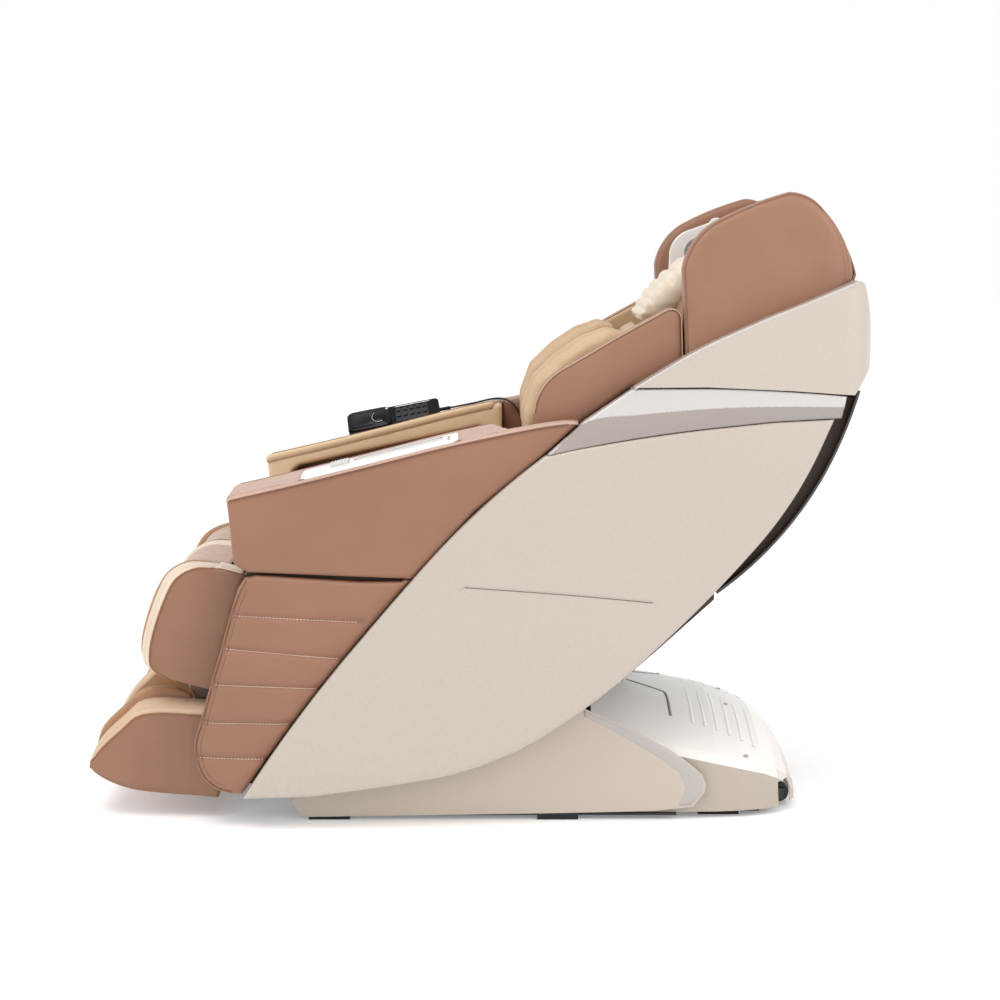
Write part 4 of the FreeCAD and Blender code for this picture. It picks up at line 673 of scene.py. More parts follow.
def stitches(name, lines, material, body="seat_body", pitch=6.0, length=3.6, radius=0.5):
    # Short thread stitches along the lines
    points, faces = [], []
    sides = 5
    for line in lines:
        if len(line) < 2:
            continue
        run = spaced(line, pitch)
        for a, b in zip(run, run[1:]):
            along = b - a
            along /= max(np.linalg.norm(along), 1e-9)
            middle = (a + b) / 2
            side = np.cross(along, (0.3, 0.2, 1.0))
            side /= max(np.linalg.norm(side), 1e-9)
            up = np.cross(side, along)
            base = len(points)
            for reach, r in ((-0.5, 0.35), (-0.3, 1.0), (0.3, 1.0), (0.5, 0.35)):
                for k in range(sides):
                    angle = 2 * math.pi * k / sides
                    points.append((middle + along * length * reach
                                   + (side * math.cos(angle) + up * math.sin(angle)) * radius * r) * S)
            for ring in range(3):
                for k in range(sides):
                    l = (k + 1) % sides
                    faces.append((base + ring * sides + k, base + ring * sides + l,
                                  base + (ring + 1) * sides + l, base + (ring + 1) * sides + k))
            faces.append(tuple(base + k for k in reversed(range(sides))))
            faces.append(tuple(base + 3 * sides + k for k in range(sides)))
    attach(mesh(name, points, faces, [material]), body)


# Camera, from the photo
camera = bpy.data.objects.new("camera", bpy.data.cameras.new("camera"))
scene.collection.objects.link(camera)
camera.location = (3.896, 0.0551, 1.128)
camera.rotation_euler = (math.radians(90 - 7.878), 0, math.radians(90))
camera.data.lens = 68.3
camera.data.sensor_width = 36
camera.data.clip_start = 0.05
camera.data.clip_end = 60
scene.camera = camera


# Remote control's cord: its route in metres
CORD_ROUTE = [
    (-0.327573, -0.055493, 0.751972), (-0.327573, -0.029971, 0.756933), (-0.320, 0.002, 0.764),
    (-0.310, 0.034, 0.773), (-0.299, 0.062, 0.776), (-0.290, 0.085, 0.765), (-0.286, 0.100, 0.742),
    (-0.285, 0.107, 0.715), (-0.285, 0.107, 0.691), (-0.285, 0.095, 0.673), (-0.285, 0.072449, 0.668011),
]
remote_cord = curve_object("remote_cord", "NURBS", np.array(CORD_ROUTE) / S, 2.25, CORD_BLACK, 3)
remote_cord.data.resolution_u = 16
remote_cord.data.splines[0].order_u = 3
remote_cord.data.splines[0].use_endpoint_u = True
stands_for(remote_cord, "seat_body", "rubber_black", "handset_cord")


# Upholstered side aprons, with their stitched rows
APRON = [
    (-112, 488.6), (-124, 488.6), (-132, 484), (-209, 483), (-405, 496), (-428, 490), (-441, 470),
    (-456, 423), (-476, 352), (-496, 287), (-516, 217), (-529, 179), (-531, 154), (-526, 124), (-512, 96),
    (-488, 77), (-459, 70), (-439, 70), (-332, 221, 0), (-211, 373),
]
APRON_ROWS = [
    [(-454, 419), (-209, 406)], [(-472, 355), (-246, 335)], [(-494, 285), (-288, 277)],
    [(-514, 211), (-343, 208)], [(-526, 143), (-391, 139)],
]
APRON_EDGE = curve([
    (-424, 486), (-437, 462), (-452, 423), (-472, 352), (-492, 287), (-512, 217), (-524, 179), (-526, 154),
    (-521, 127), (-508, 101), (-486, 83), (-459, 75),
])


def grooves(rows, wide, deep):
    lines = [curve(row) for row in rows]
    return lambda y, z, depth: -deep * np.exp(-(to_lines(np.stack([y, z], 1), lines) / wide) ** 2)


def creased(seed, size, deep):
    """Uneven leather: low folds that fade out at the edges."""
    def lift(y, z, depth):
        folds = np.array([uneven(a * size, b * size, seed) for a, b in zip(y, z)])
        return folds * deep * np.clip(depth / 22, 0, 1)
    return lift


def add(*parts):
    return lambda y, z, depth: sum(part(y, z, depth) for part in parts)


for side, hand in SIDES:
    def wrinkled(y, z, depth):
        folds = np.array([noise.noise(Vector((a * 0.012 + 5 * hand, b * 0.03, 1.7))) for a, b in zip(y, z)])
        return folds * 1.3 * np.clip(depth / 25, 0, 1)

    apron = prism("apron_" + side, trace(APRON), 350, 376.5, hand, roll=8, crown=5,
                  raised=add(grooves(APRON_ROWS, 7.0, 5.5), wrinkled), seams=APRON_ROWS, belly=30)
    on_seat(apron, "side_apron_" + side, fill=0.8)
    threads = [on_side(apron, spaced(curve(row), 6)[1:-1], hand, 0.2) for row in APRON_ROWS]
    stitches("apron_stitches_" + side, threads, THREAD_LIGHT, pitch=6.5, length=4.0, radius=0.55)
    cord_of("apron_piping_" + side, [(372.5 * hand, y, z) for y, z in APRON_EDGE], 1.2, DARK_PIPING)
    front_seam = on_side(apron, inward(APRON_EDGE, 10)[2:-2], hand, -0.3)
    cord_of("apron_front_seam_" + side, front_seam, 0.8, DARK_PIPING)


# Side shells, with the slit along the front edge, and the stripes above them
SHELL = [
    (-437, 65), (-330, 221, 0), (-209, 373), (-160, 431, 0), (-109, 490), (11, 616.5, 0), (140, 725),
    (317, 757, 0), (441, 774), (565, 787), (677, 793), (660, 754), (625, 680, 0), (542, 558), (440, 445, 0),
    (344, 350), (220, 244, 0), (131, 183), (17, 129, 0), (-97, 100), (-212, 82, 0), (-309, 69),
]
STRIPE = [
    (140, 724), (212, 789), (301, 849), (440, 850), (600, 844, 0), (699, 836), (690, 795), (565, 788),
    (441, 775), (317, 758, 0),
]
SLIT = curve([(-11, 476), (75, 470), (180, 462), (270, 454), (341, 447)], 5)
RIDGE = curve([(150, 729), (217, 790), (316, 803), (415, 812), (514, 817), (613, 818), (694, 817)])


def slit_groove(y, z, depth):
    return -2.4 * np.clip(1.6 - to_line(np.stack([y, z], 1), SLIT) / 1.8, 0, 1)


def ridge_level(y, z):
    return 390 - 4.2 * np.clip(to_line(np.stack([y, z], 1), RIDGE) / 26, 0, 1) ** 0.8


for side, hand in SIDES:
    shell = prism("side_shell_" + side, trace(SHELL), 352, 390, hand, [SHELL_PAINT] * 3, roll=7, crown=1.5,
                  raised=slit_groove, seams=[SLIT], belly=60)
    on_seat(shell, "side_shell_" + side, slot="shell_ivory")
    cord_of("shell_slit_" + side, [(386.9 * hand, y, z) for y, z in SLIT], 1.5, DARK_SLIT, slot="shell_ivory")
    stripe = prism("stripe_" + side, trace(STRIPE), 352, ridge_level, hand, [RIM_PAINTED_HIGHLIGHT] * 3 + [STRIPE_SHADED_SILVER],
                   roll=4, crown=0, seams=[RIDGE], grid=9)
    # Faces below the ridge take the darker silver and the rest keep the lighter rim paint: painted shade and
    # painted highlight on the two facets of the one silver stripe
    for face in stripe.data.polygons:
        _, y, z = face.center / S
        if face.material_index < 2 and z < np.interp(y, RIDGE[:, 0], RIDGE[:, 1]) - 1.0:
            face.material_index = 3
    on_seat(stripe, "stripe_panel_" + side, slot="stripe_silver")


# Armrests: outer side, inner side with the forearm channel, folds behind, and top
ARMREST = [
    (-459, 645), (-326, 674), (-39, 746), (123, 780), (189, 792), (208, 789), (138.5, 726.8), (8.4, 619, 0),
    (-113, 488.5), (-126, 490), (-420, 502), (-438, 511), (-447, 519),
]
INNER_SIDE = [
    (-458, 646), (-326, 676), (-39, 748), (60, 770), (60, 672), (6.4, 621), (-110, 491), (-126, 490),
    (-420, 502), (-438, 511), (-448, 519),
]
FOREARM_CHANNEL = trace(rounded([
    (-404, 524), (-402, 618), (-386, 630), (-290, 652), (-180, 676), (8, 717), (20, 709), (20, 670),
    (-40, 625), (-160, 532), (-385, 518),
], 10))
ARM_TOP = curve([(-459, 643), (-430, 650), (-326, 674), (-182, 710), (-39, 746), (123, 780), (200, 790)], 9)
# X of the top's inner edge, outer edge and the seam between its leathers, and its rise towards the seat
ARM_IN, ARM_OUT, ARM_SPLIT, ARM_RISE = 250, 377, 257, 9.0
ARM_COLUMNS = np.concatenate([
    [250, 250.6, 252, 255, 260], np.linspace(266, 362, 34), [364.8, 367.6, 370.4, 372.6, 374.6, 376.4, 377],
])
# Y of the control insert's ends and X of its edges
INSERT_FRONT, INSERT_REAR, INSERT_OUT, INSERT_IN = -320.0, -22.0, 373.5, 277.0
DOWN, DOWN_ON_TOP = (0, 0, -1), (0, 0.2, -1)


def shaded_channel_mark(at):
    # The channel's own walls get a dark colour: painted shade in the recess
    return 1 if to_line(np.array([at]), FOREARM_CHANNEL, True)[0] < 1.0 else 2


def insert_lift(x):
    share = (INSERT_OUT - x) / (INSERT_OUT - INSERT_IN)
    return 2.0 + 8.0 * share + 1.6 * bulge(ramp(share, 0, 1))


def elbow_folds(side, hand):
    # Soft leather where the elbow goes
    rings = []
    for share in np.linspace(0, 1, 25):
        y = 62 + 140 * share
        top = np.interp(y, [60, 123, 208], [768, 780, 790]) - 2
        low = np.interp(y, [60, 138.5, 208], [672, 729, 786]) - 2
        fold = 5.0 * abs(math.sin(share * math.pi * 4.5)) ** 0.7
        ring = []
        for c, s in soft_square(28, 0.35, 0.45):
            z = (top + low) / 2 + ((top - low) / 2 + 0.2 * fold) * s
            ring.append(((325 + (20 + fold * 0.3) * c) * hand, y, min(z, top + fold * 0.3)))
        rings.append(ring)
    return capped("armrest_folds_" + side, rings, BROWN_PUFF)


def top_lift(x, y, narrow, turn, end, hand):
    # The soft strip is drawn down at its edges, and has a bed for the insert or for the remote control
    edge = min(x - narrow, ARM_OUT - x)
    share = ramp(x, narrow, ARM_OUT)
    lift = 5.5 * math.sqrt(max(0.0, 1 - (1 - min(edge / 8, 1)) ** 2)) - 4.5
    lift += ARM_RISE * (1 - turn) * (1 - share) + 1.2 * bulge(share) ** 0.6
    if end < 1:
        lift -= 4 * (1 - math.sqrt(max(0, 1 - (1 - end) ** 2)))
    lift += uneven(x * 0.02, y * 0.016, 2.0 * hand) * min(1, edge / 15)
    if hand < 0 and x > 272:
        bed = ramp(y, -300, -284) * ramp(-y, 60, 76)
        lift += (min(lift, -1.5 + max(0, 296 - x) * 0.3) - lift) * bed
    if hand > 0 and INSERT_FRONT - 2 < y < INSERT_REAR + 2 and INSERT_IN + 2 < x < INSERT_OUT - 2:
        lift = min(lift, insert_lift(x) - 3.0)
    return lift


def armrest_top(side, hand):
    rings = []
    last = len(ARM_TOP) - 1
    for i, ((y, z), (dy, dz)) in enumerate(zip(ARM_TOP, headings(ARM_TOP))):
        # Both ends are rounded off, the rear one over more stations
        end = min(i, last - i) / (1.2 if i < last / 2 else 3.0)
        turn = ramp(y, 40, 76)
        narrow = ARM_IN + 98 * turn * turn * (3 - 2 * turn)
        ring = []
        for x in np.maximum(ARM_COLUMNS, narrow + (ARM_COLUMNS - ARM_IN) * 0.01):
            lift = top_lift(x, y, narrow, turn, end, hand)
            ring.append((x * hand, y - dz * lift, z + dy * lift))
        for x in (375.5, max(340, narrow), max(300, narrow), narrow):
            ring.append((x * hand, y + dz * 6, z - dy * 6))
        rings.append(ring)
    # The top's outer part is the brown leather painted lighter as painted light; its inner part is tan
    top = capped("armrest_top_" + side, rings, TOP_PAINTED_LIGHT, ARM_TAN)
    for face in top.data.polygons:
        if abs(face.center.x) < ARM_SPLIT * S:
            face.material_index = 1
    return top


for side, hand in SIDES:
    outer = prism("armrest_side_" + side, trace(rounded(ARMREST, 5)), 366, ARM_OUT, hand, roll=7, crown=3,
                  raised=creased(3.1 * hand, 0.012, 1.6), belly=40)
    on_seat(outer, "armrest_" + side, fill=0.8)
    # Inner side: the channel's walls take the dark painted shade
    inner = prism("armrest_inner_" + side, trace(rounded(INNER_SIDE, 7)), 367, 249, hand,
                  [ARM_TAN, CHANNEL_SHADE, BROWN], roll=9, crown=3, holes=[FOREARM_CHANNEL],
                  raised=creased(7.7 * hand, 0.02, 1.6), wall_steps=8, wall_mark=shaded_channel_mark)
    on_seat(inner, fill=0.75)
    lip = [(250.5 * hand, y, z) for y, z in inward(FOREARM_CHANNEL, -4)]
    cord_of("channel_piping_" + side, lip, 2.0, TAN_PIPING, closed=True)
    on_seat(elbow_folds(side, hand), fill=0.55)
    top = armrest_top(side, hand)
    split = cast(top, [(ARM_SPLIT * hand, y, z + 40) for y, z in ARM_TOP[1:] if y < 40], DOWN_ON_TOP, -0.2)
    cord_of("armrest_split_" + side, split, 1.4, DARK_PIPING)
    edge_seam = [(376.6 * hand, y, z - 5.2) for y, z in ARM_TOP[1:] if y < 190]
    cord_of("armrest_edge_" + side, edge_seam, 1.3, DARK_PIPING)
    on_seat(top, fill=0.7)

    # The stitches leave out the insert
    seams = []
    for x in (363.6, 369.4):
        run = [(x * hand, y, z + 40) for y, z in ARM_TOP[2:-2]]
        parts = [run]
        if hand > 0:
            before = [p for p in run if p[1] <= INSERT_FRONT - 6]
            parts = [before, [p for p in run if p[1] >= INSERT_REAR + 6]]
        seams += [cast(top, part, DOWN_ON_TOP, 0.1) for part in parts]
    stitches("armrest_stitches_" + side, seams, THREAD_PINK, radius=0.45)


# Control insert of the left armrest
INSERT_SLOPE = math.atan2(746 - 674, 326 - 39)
END_STEPS = np.array([0.2, 1.5, 4, 8, 13, 19, 26])
INSERT_STATIONS = np.concatenate([
    INSERT_FRONT + END_STEPS, np.linspace(-286, -56, 24), INSERT_REAR - END_STEPS[::-1],
])
rings = []
for y in INSERT_STATIONS:
    gap = min(y - INSERT_FRONT, INSERT_REAR - y)
    corner = 24 - math.sqrt(max(0.0, 24**2 - (24 - min(gap, 24)) ** 2))
    z = 674 + (y + 326) * math.tan(INSERT_SLOPE)
    ring = []
    for share in (0, 0.012, 0.04, 0.12, 0.25, 0.4, 0.55, 0.7, 0.85, 0.96, 0.99, 1):
        x = INSERT_OUT - corner + (INSERT_IN + corner * 0.5 - INSERT_OUT + corner) * share
        edge = min(share, 1 - share) * 97
        lift = insert_lift(x) - 2.2 * (1 - min(1, edge / 3.5)) ** 2 - 1.6 * (1 - min(1, gap / 4)) ** 2
        ring.append((x, y - math.sin(INSERT_SLOPE) * lift, z + math.cos(INSERT_SLOPE) * lift))
    (x0, y0, z0), (x1, y1, z1) = ring[0], ring[-1]
    rings.append(ring + [(x1 - 0.2, y1, z1 - 8), (x0 + 0.2, y0, z0 - 8)])
insert = capped("arm_insert", rings, WHITE_GLOSS)
on_seat(insert, "arm_panel_left", slot="panel_white")
insert_edge = [np.array(ring[0]) + (0.3, 0, -0.5) for ring in rings]
cord_of("insert_seam", insert_edge, 0.9, DARK_SLIT, slot="panel_white")


def on_insert(name, x, y, half_x, half_y, thickness, material, count=16, power=1.0):
    """A thin plate lying on the insert."""
    above = [(x + half_x * c, y + half_y * s, 1300) for c, s in soft_square(count, power)]
    points = cast(insert, above, DOWN)
    centre = cast(insert, [(x, y, 1300)], DOWN)[0]
    up = np.array((0, 0, thickness))
    soft = centre + (points - centre) * 0.94
    rings = [points - up * 0.8, points + up * 0.6, soft + up, np.repeat([centre + up * 1.02], count, 0)]
    on_seat(capped(name, rings, material, close=False), slot="panel_white")


on_insert("insert_slot", 318, -138, 9, 84, 1.2, GREY_INSERT, 44, 0.35)
# A grey line along the slot's upper edge: painted shadow
slot_shadow_line = cast(insert, [(309, y, 1300) for y in np.linspace(-222, -54, 30)], DOWN, 0.6)
cord_of("insert_slot_edge", slot_shadow_line, 1.2, DARK_SLIT, slot="panel_white")
on_insert("insert_key", 312, -250, 17, 19, 4.5, GREY_INSERT, 32, 0.7)
for k in range(6):
    on_insert("insert_rib_%d" % k, 312, -264 + 5.6 * k, 15, 1.2, 6.0, WHITE_GLOSS, 16, 0.6)
for k in range(3):
    on_insert("insert_icon_%d" % k, 318 + 12 * k, -42, 2.4, 2.4, 0.7, ICON_GREY)


# Shoulder guards, with piping round their upper edge; the piping is pale as a painted highlight along the rim
GUARD = [
    (117, 700), (117, 799), (121, 821), (144, 861, 0), (174, 885), (266, 939), (365, 993), (387, 994, 0),
    (397, 976), (402, 853), (303, 847), (214, 784), (150, 726),
]
for side, hand in SIDES:
    guard = prism("guard_" + side, trace(GUARD, 6), 293.5, 333.5, hand, [BROWN, BROWN, TAN], roll=11, crown=3,
                  back_roll=10, raised=creased(12.3 * hand, 0.02, 1.4))
    on_seat(guard, "shoulder_guard_" + side, fill=0.8)
    rim = pulled(trace(GUARD[1:11], 6, closed=False), (250, 850), 2.0)
    for x in (330.0, 297.0):
        cord_of("guard_piping_%s_%d" % (side, x), [(x * hand, y, z) for y, z in rim], 1.4, PIPING_PAINTED_HIGHLIGHT)


# Hood: two wings, the padded wall behind the head, and piping
WING = [
    (405, 845), (403, 911), (395, 1070), (413, 1117, 0), (452, 1156), (525, 1190, 0), (592, 1212),
    (630, 1202, 0), (656, 1180), (698, 1122, 0), (721, 1060), (714, 1046), (704, 1034), (704, 832),
    (694, 832), (600, 839.4, 0), (440, 845.4),
]
HEAD_WALL = curve([(382, 846), (396, 960), (430, 1030), (480, 1090), (560, 1160), (606, 1196)], 7)
REAR_WALL = trace([
    (606, 1202), (622, 1204), (650, 1186), (698, 1128, 0), (726, 1060), (722, 1049), (713, 1042), (713, 832),
    (640, 834),
], 9, False)
HOOD_SEAM = curve([(684, 1140), (697, 1108), (705, 1075), (707, 1050)])
HOOD_CORNER, HOOD_HALF, HOOD_REAR = 66, 348.5, 728
HOOD_COLUMNS = np.concatenate([
    [-299.5, -298, -294, -286], np.linspace(-274, 274, 57), [286, 294, 298, 299.5],
])


def hood_side(y, z):
    past = np.clip(y - (HOOD_REAR - HOOD_CORNER), 0, HOOD_CORNER)
    return HOOD_HALF - HOOD_CORNER + np.sqrt(np.maximum(HOOD_CORNER**2 - past**2, 0))


for side, hand in SIDES:
    surface = add(creased(21.7 * hand, 0.014, 1.8), grooves([HOOD_SEAM], 2.6, 1.9))
    wing = prism("hood_wing_" + side, trace(WING, 6), 298.8, hood_side, hand, roll=17, crown=0, back_roll=12,
                 raised=surface, seams=[HOOD_SEAM])
    on_seat(wing, fill=0.8)
    rim = pulled(trace(WING[1:9], 6, closed=False), (560, 1000), 4.6)
    for x in (342.5, 303.5):
        cord_of("hood_piping_%s_%d" % (side, x), [(x * hand, y, z) for y, z in rim], 1.7, DARK_PIPING)
    runs = [[(y + shift, z) for y, z in spaced(HOOD_SEAM, 6)[1:-1]] for shift in (-4, 4)]
    stitches("hood_stitches_" + side, [on_side(wing, run, hand, 0.1) for run in runs], THREAD_TAN)

rings = []
for x in HOOD_COLUMNS:
    ring = []
    edge = 300 - abs(x)
    for i, ((y, z), (dy, dz)) in enumerate(zip(HEAD_WALL, headings(HEAD_WALL))):
        share = i / (len(HEAD_WALL) - 1)
        swell = 9 * (1 - math.exp(-edge / 26)) * bulge(min(1, share * 1.04)) ** 0.5 - 3
        swell -= 3.2 * math.exp(-((abs(x) - 152) / 5.0) ** 2)
        swell += 1.4 * uneven(x * 0.014, share * 4, 5.5) * min(1, edge / 20)
        ring.append((x, y - dz * swell, z + dy * swell * 0.4))
    past = max(0.0, abs(x) - (HOOD_HALF - HOOD_CORNER))
    limit = HOOD_REAR - HOOD_CORNER + math.sqrt(HOOD_CORNER**2 - past**2)
    for y, z in REAR_WALL:
        held = limit if z > 1043 else min(limit, 713.0 - (HOOD_REAR - limit))
        ring.append((x, min(y, held), z - 2.5 * math.exp(-edge / 6)))
    rings.append(ring)
on_seat(capped("hood_back", rings, BROWN), "head_hood", fill=0.75)
cord_of("hood_piping_brow", [(x, 604, 1203.5) for x in np.linspace(-292, 292, 60)], 1.7, DARK_PIPING)


# Speaker panels inside the hood: a white plate with a grille of small holes
PANEL = [
    (424, 1048), (426, 1098), (438, 1124, 0), (470, 1145), (512, 1160), (545, 1157, 0), (538, 1140),
    (502, 1110, 0), (468, 1072), (440, 1046),
]


def grille_place(across, along):
    # The oval grille leans back with the panel
    return 480 + across * 0.76 + along * 0.65, 1106 - across * 0.65 + along * 0.76


for side, hand in SIDES:
    panel = prism("speaker_" + side, trace(PANEL, 4), 299, 293.5, hand, [WHITE_GLOSS] * 3, roll=3, crown=0.4,
                  grid=8)
    on_seat(panel, slot="panel_white")
    rim = [grille_place(17 * c, 27 * s) for c, s in soft_square(40, 1.0)]
    grille = prism("speaker_grille_" + side, rim, 296, 292.4, hand, [GRILLE_DARK, GRILLE, GRILLE], roll=1.6,
                   crown=0.4, grid=5)
    on_seat(grille, slot="panel_white")
    for k in range(-4, 5):
        reach = 25 * math.sqrt(max(0, 1 - (k / 5.2) ** 2))
        bar = [(292.2 * hand, *grille_place(3.3 * k, b)) for b in np.linspace(-reach, reach, 12)]
        cord_of("speaker_bar_%s_%d" % (side, k + 4), bar, 0.9, GRILLE, slot="panel_white")
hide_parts("speaker_panels")


# Cushions and other puffed pieces: cloth blown up over the CAD form, held along its seams
CLOTH_FRAMES = 20


def settled(thing):
    # The object with its modifiers made part of its mesh
    fresh = bpy.data.meshes.new_from_object(thing.evaluated_get(bpy.context.evaluated_depsgraph_get()))
    thing.modifiers.clear()
    thing.data = fresh


def rows_of(thing, kind):
    # The vertices' places or normals, one row each
    found = np.zeros(len(thing.data.vertices) * 3)
    thing.data.vertices.foreach_get(kind, found)
    return found.reshape(-1, 3)


def put(thing, co):
    thing.data.vertices.foreach_set("co", np.asarray(co).ravel())
    thing.data.update()


def evened(thing, values, passes):
    # The values at each vertex, shared out with its neighbours pass by pass
    ends = np.zeros(len(thing.data.edges) * 2, int)
    thing.data.edges.foreach_get("vertices", ends)
    a, b = ends.reshape(-1, 2).T
    into, source = np.concatenate([a, b]), np.concatenate([b, a])
    total = len(values)
    count = np.maximum(np.bincount(into, minlength=total), 1)
    for _ in range(passes):
        shared = [np.bincount(into, weights=values[source, k], minlength=total) / count for k in range(3)]
        values = 0.4 * values + 0.6 * np.stack(shared, 1)
    return values


def blown_up(made, held, start, cap):
    """The cloth simulation, with its movement evened out and no more than cap in metres."""
    group = made.vertex_groups.new(name="held")
    for i in np.nonzero(held)[0]:
        group.add([int(i)], 1.0, "REPLACE")
    cloth = made.modifiers.new("cloth", "CLOTH")
    settings = (
        ("quality", 4), ("mass", 0.25), ("tension_stiffness", 12.0), ("compression_stiffness", 12.0),
        ("shear_stiffness", 4), ("bending_stiffness", 0.6), ("use_pressure", True),
        ("uniform_pressure_force", 4.0), ("shrink_min", -0.035), ("vertex_group_mass", "held"),
    )
    for setting, value in settings:
        setattr(cloth.settings, setting, value)
    cloth.settings.effector_weights.gravity = 0
    cloth.collision_settings.use_collision = False
    cloth.point_cache.frame_start = 1
    cloth.point_cache.frame_end = CLOTH_FRAMES
    for number in range(1, CLOTH_FRAMES + 1):
        scene.frame_set(number)
    settled(made)
    move = evened(made, rows_of(made, "co") - start, 14)
    size = np.linalg.norm(move, axis=1)
    put(made, start + move * np.minimum(1, cap / np.maximum(size, 1e-9))[:, None])
    scene.frame_set(1)
    made.vertex_groups.clear()


def puff(node, name, material, lines, facing, voxel=0.006, cap=0.007, groove=0.005, wide=0.006, fill=0.7,
         body="seat_body", slot="leather_tan"):
    """A soft copy of a CAD node: held along seam lines and behind, and blown up between them."""
    made = bpy.data.objects.new(name, CAD[node].data.copy())
    scene.collection.objects.link(made)
    remesh = made.modifiers.new("remesh", "REMESH")
    remesh.mode = "VOXEL"
    remesh.voxel_size = voxel
    remesh.use_smooth_shade = True
    made.modifiers.new("smooth", "SMOOTH").iterations = 3
    settled(made)
    co, normals = rows_of(made, "co"), rows_of(made, "normal")
    front = normals @ np.array(facing)
    near = to_lines(co, lines)
    start = co - normals * (groove * np.exp(-(near / wide) ** 2) * (front > -0.2))[:, None]
    put(made, start)
    blown_up(made, (near < voxel * 0.9) | (front < -0.35), start, cap)
    made.modifiers.new("smooth", "SMOOTH").iterations = 2
    divide = made.modifiers.new("divide", "SUBSURF")
    divide.levels = 1
    divide.render_levels = 1
    settled(made)
    made.data.materials.clear()
    made.data.materials.append(material)
    made.data.polygons.foreach_set("use_smooth", [True] * len(made.data.polygons))
    return stands_for(made, body, slot, node, fill=fill)


def seams_on(node, rows, way):
    return [cast(CAD[node], row, way) * S for row in rows]


# Seat cushion: a front roll, a line across and two lines back along it
rows = [[(x, y, 560) for x in np.linspace(-322, 322, 60)] for y in (-330, -205, -95)]
rows += [[(x, y, 560) for y in np.linspace(-396, -30, 40)] for x in (-112, 112)]
puff("seat_cushion", "seat_pad", TAN, seams_on("seat_cushion", rows, DOWN), (0, 0.1, 1))

# Back cushion: a middle panel between two side panels, with rows across
BACK_FACING = np.array((0, -0.8147, 0.58))
rise = np.stack([np.linspace(2, 322, 50) - 120, np.linspace(494, 950, 50) + 85], 1)
rows = [[(x, y, z) for y, z in rise] for x in (-96, 96)]
for share in (0.16, 0.34, 0.52, 0.7, 0.86):
    rows.append([(x, -122 + 332 * share, 575 + 467 * share) for x in np.linspace(-238, 238, 50)])
puff("back_cushion", "back_pad", TAN, seams_on("back_cushion", rows, -BACK_FACING), BACK_FACING)


# Shoulder airbags: three ribs each, with piping between them
def round_bag(bag, x, first, last, count, lift=0.0):
    # A line round the airbag's front, from below to above
    line = []
    for angle in np.radians(np.linspace(first, last, count)):
        out = np.array((0, -math.cos(angle), math.sin(angle)))
        line += list(cast(bag, [np.array((x, 330, 700)) + out * 500], -out, lift))
    return np.array(line)


for side, hand in SIDES:
    node = "shoulder_airbag_" + side
    rib_lines = [round_bag(CAD[node], x * hand, -20, 130, 70) * S for x in (156.7, 209.3)]
    bag = puff(node, "airbag_" + side, TAN, rib_lines, BACK_FACING, voxel=0.0055, groove=0.007, wide=0.009,
               fill=0.85)
    for k, x in enumerate((156.7, 209.3)):
        pipe = curve(round_bag(bag, x * hand, -14, 122, 60, 0.4), 8)
        cord_of("airbag_piping_%s_%d" % (side, k), pipe, 1.8, TAN_PIPING, slot="leather_tan")

# Head pillow: quilted rows across
PILLOW_FACING = np.array((0, -0.743, 0.669))
rows = [[(x, y - 100, z + 90) for x in np.linspace(-136, 136, 50)]
        for y, z in ((322, 975), (333, 991), (346, 1010), (361, 1030), (379, 1049), (400, 1067))]
puff("head_pillow", "head_pillow_soft", PILLOW, seams_on("head_pillow", rows, -PILLOW_FACING), PILLOW_FACING,
     voxel=0.0042, cap=0.004, groove=0.006, wide=0.0045, fill=0.65, body="pillow", slot="leather_cream")


# Calf and foot units: two wells side by side, with cream strips on the walls and a shiny lining
KNEE = np.array((0, -462.0, 478.0))
DOWN_LEG = np.array((0, -0.25, -0.9682))
FORWARD = np.array((0, -0.9682, 0.25))
WALL_OUT, WALL_IN, MIDDLE_WALL = 300.0, 245.0, 32.0
SIDE_MARK, STRIP_MARK, LINING_MARK, BACK_MARK = 0, 1, 2, 3
CALF_STATIONS = curve([
    (-12, 34), (-11, 50), (-8, 68), (-4, 86), (4, 101), (18, 117), (38, 129), (74, 137), (120, 142),
    (163, 143), (196, 138), (211, 130), (219, 114), (223, 98),
], 7)
FOOT_STATIONS = curve([
    (-745, 106, 119, 109), (-738, 96, 140, 106), (-716, 81, 168, 98), (-682, 67, 199, 90),
    (-654, 60, 224, 86), (-630, 57, 231, 84), (-600, 54, 233, 84), (-562, 51, 231, 84),
    (-554, 51, 230, 110), (-546, 50, 230, 160), (-530, 49, 229, 188), (-512, 47, 228, 190),
    (-501, 46, 226, 190),
], 9)


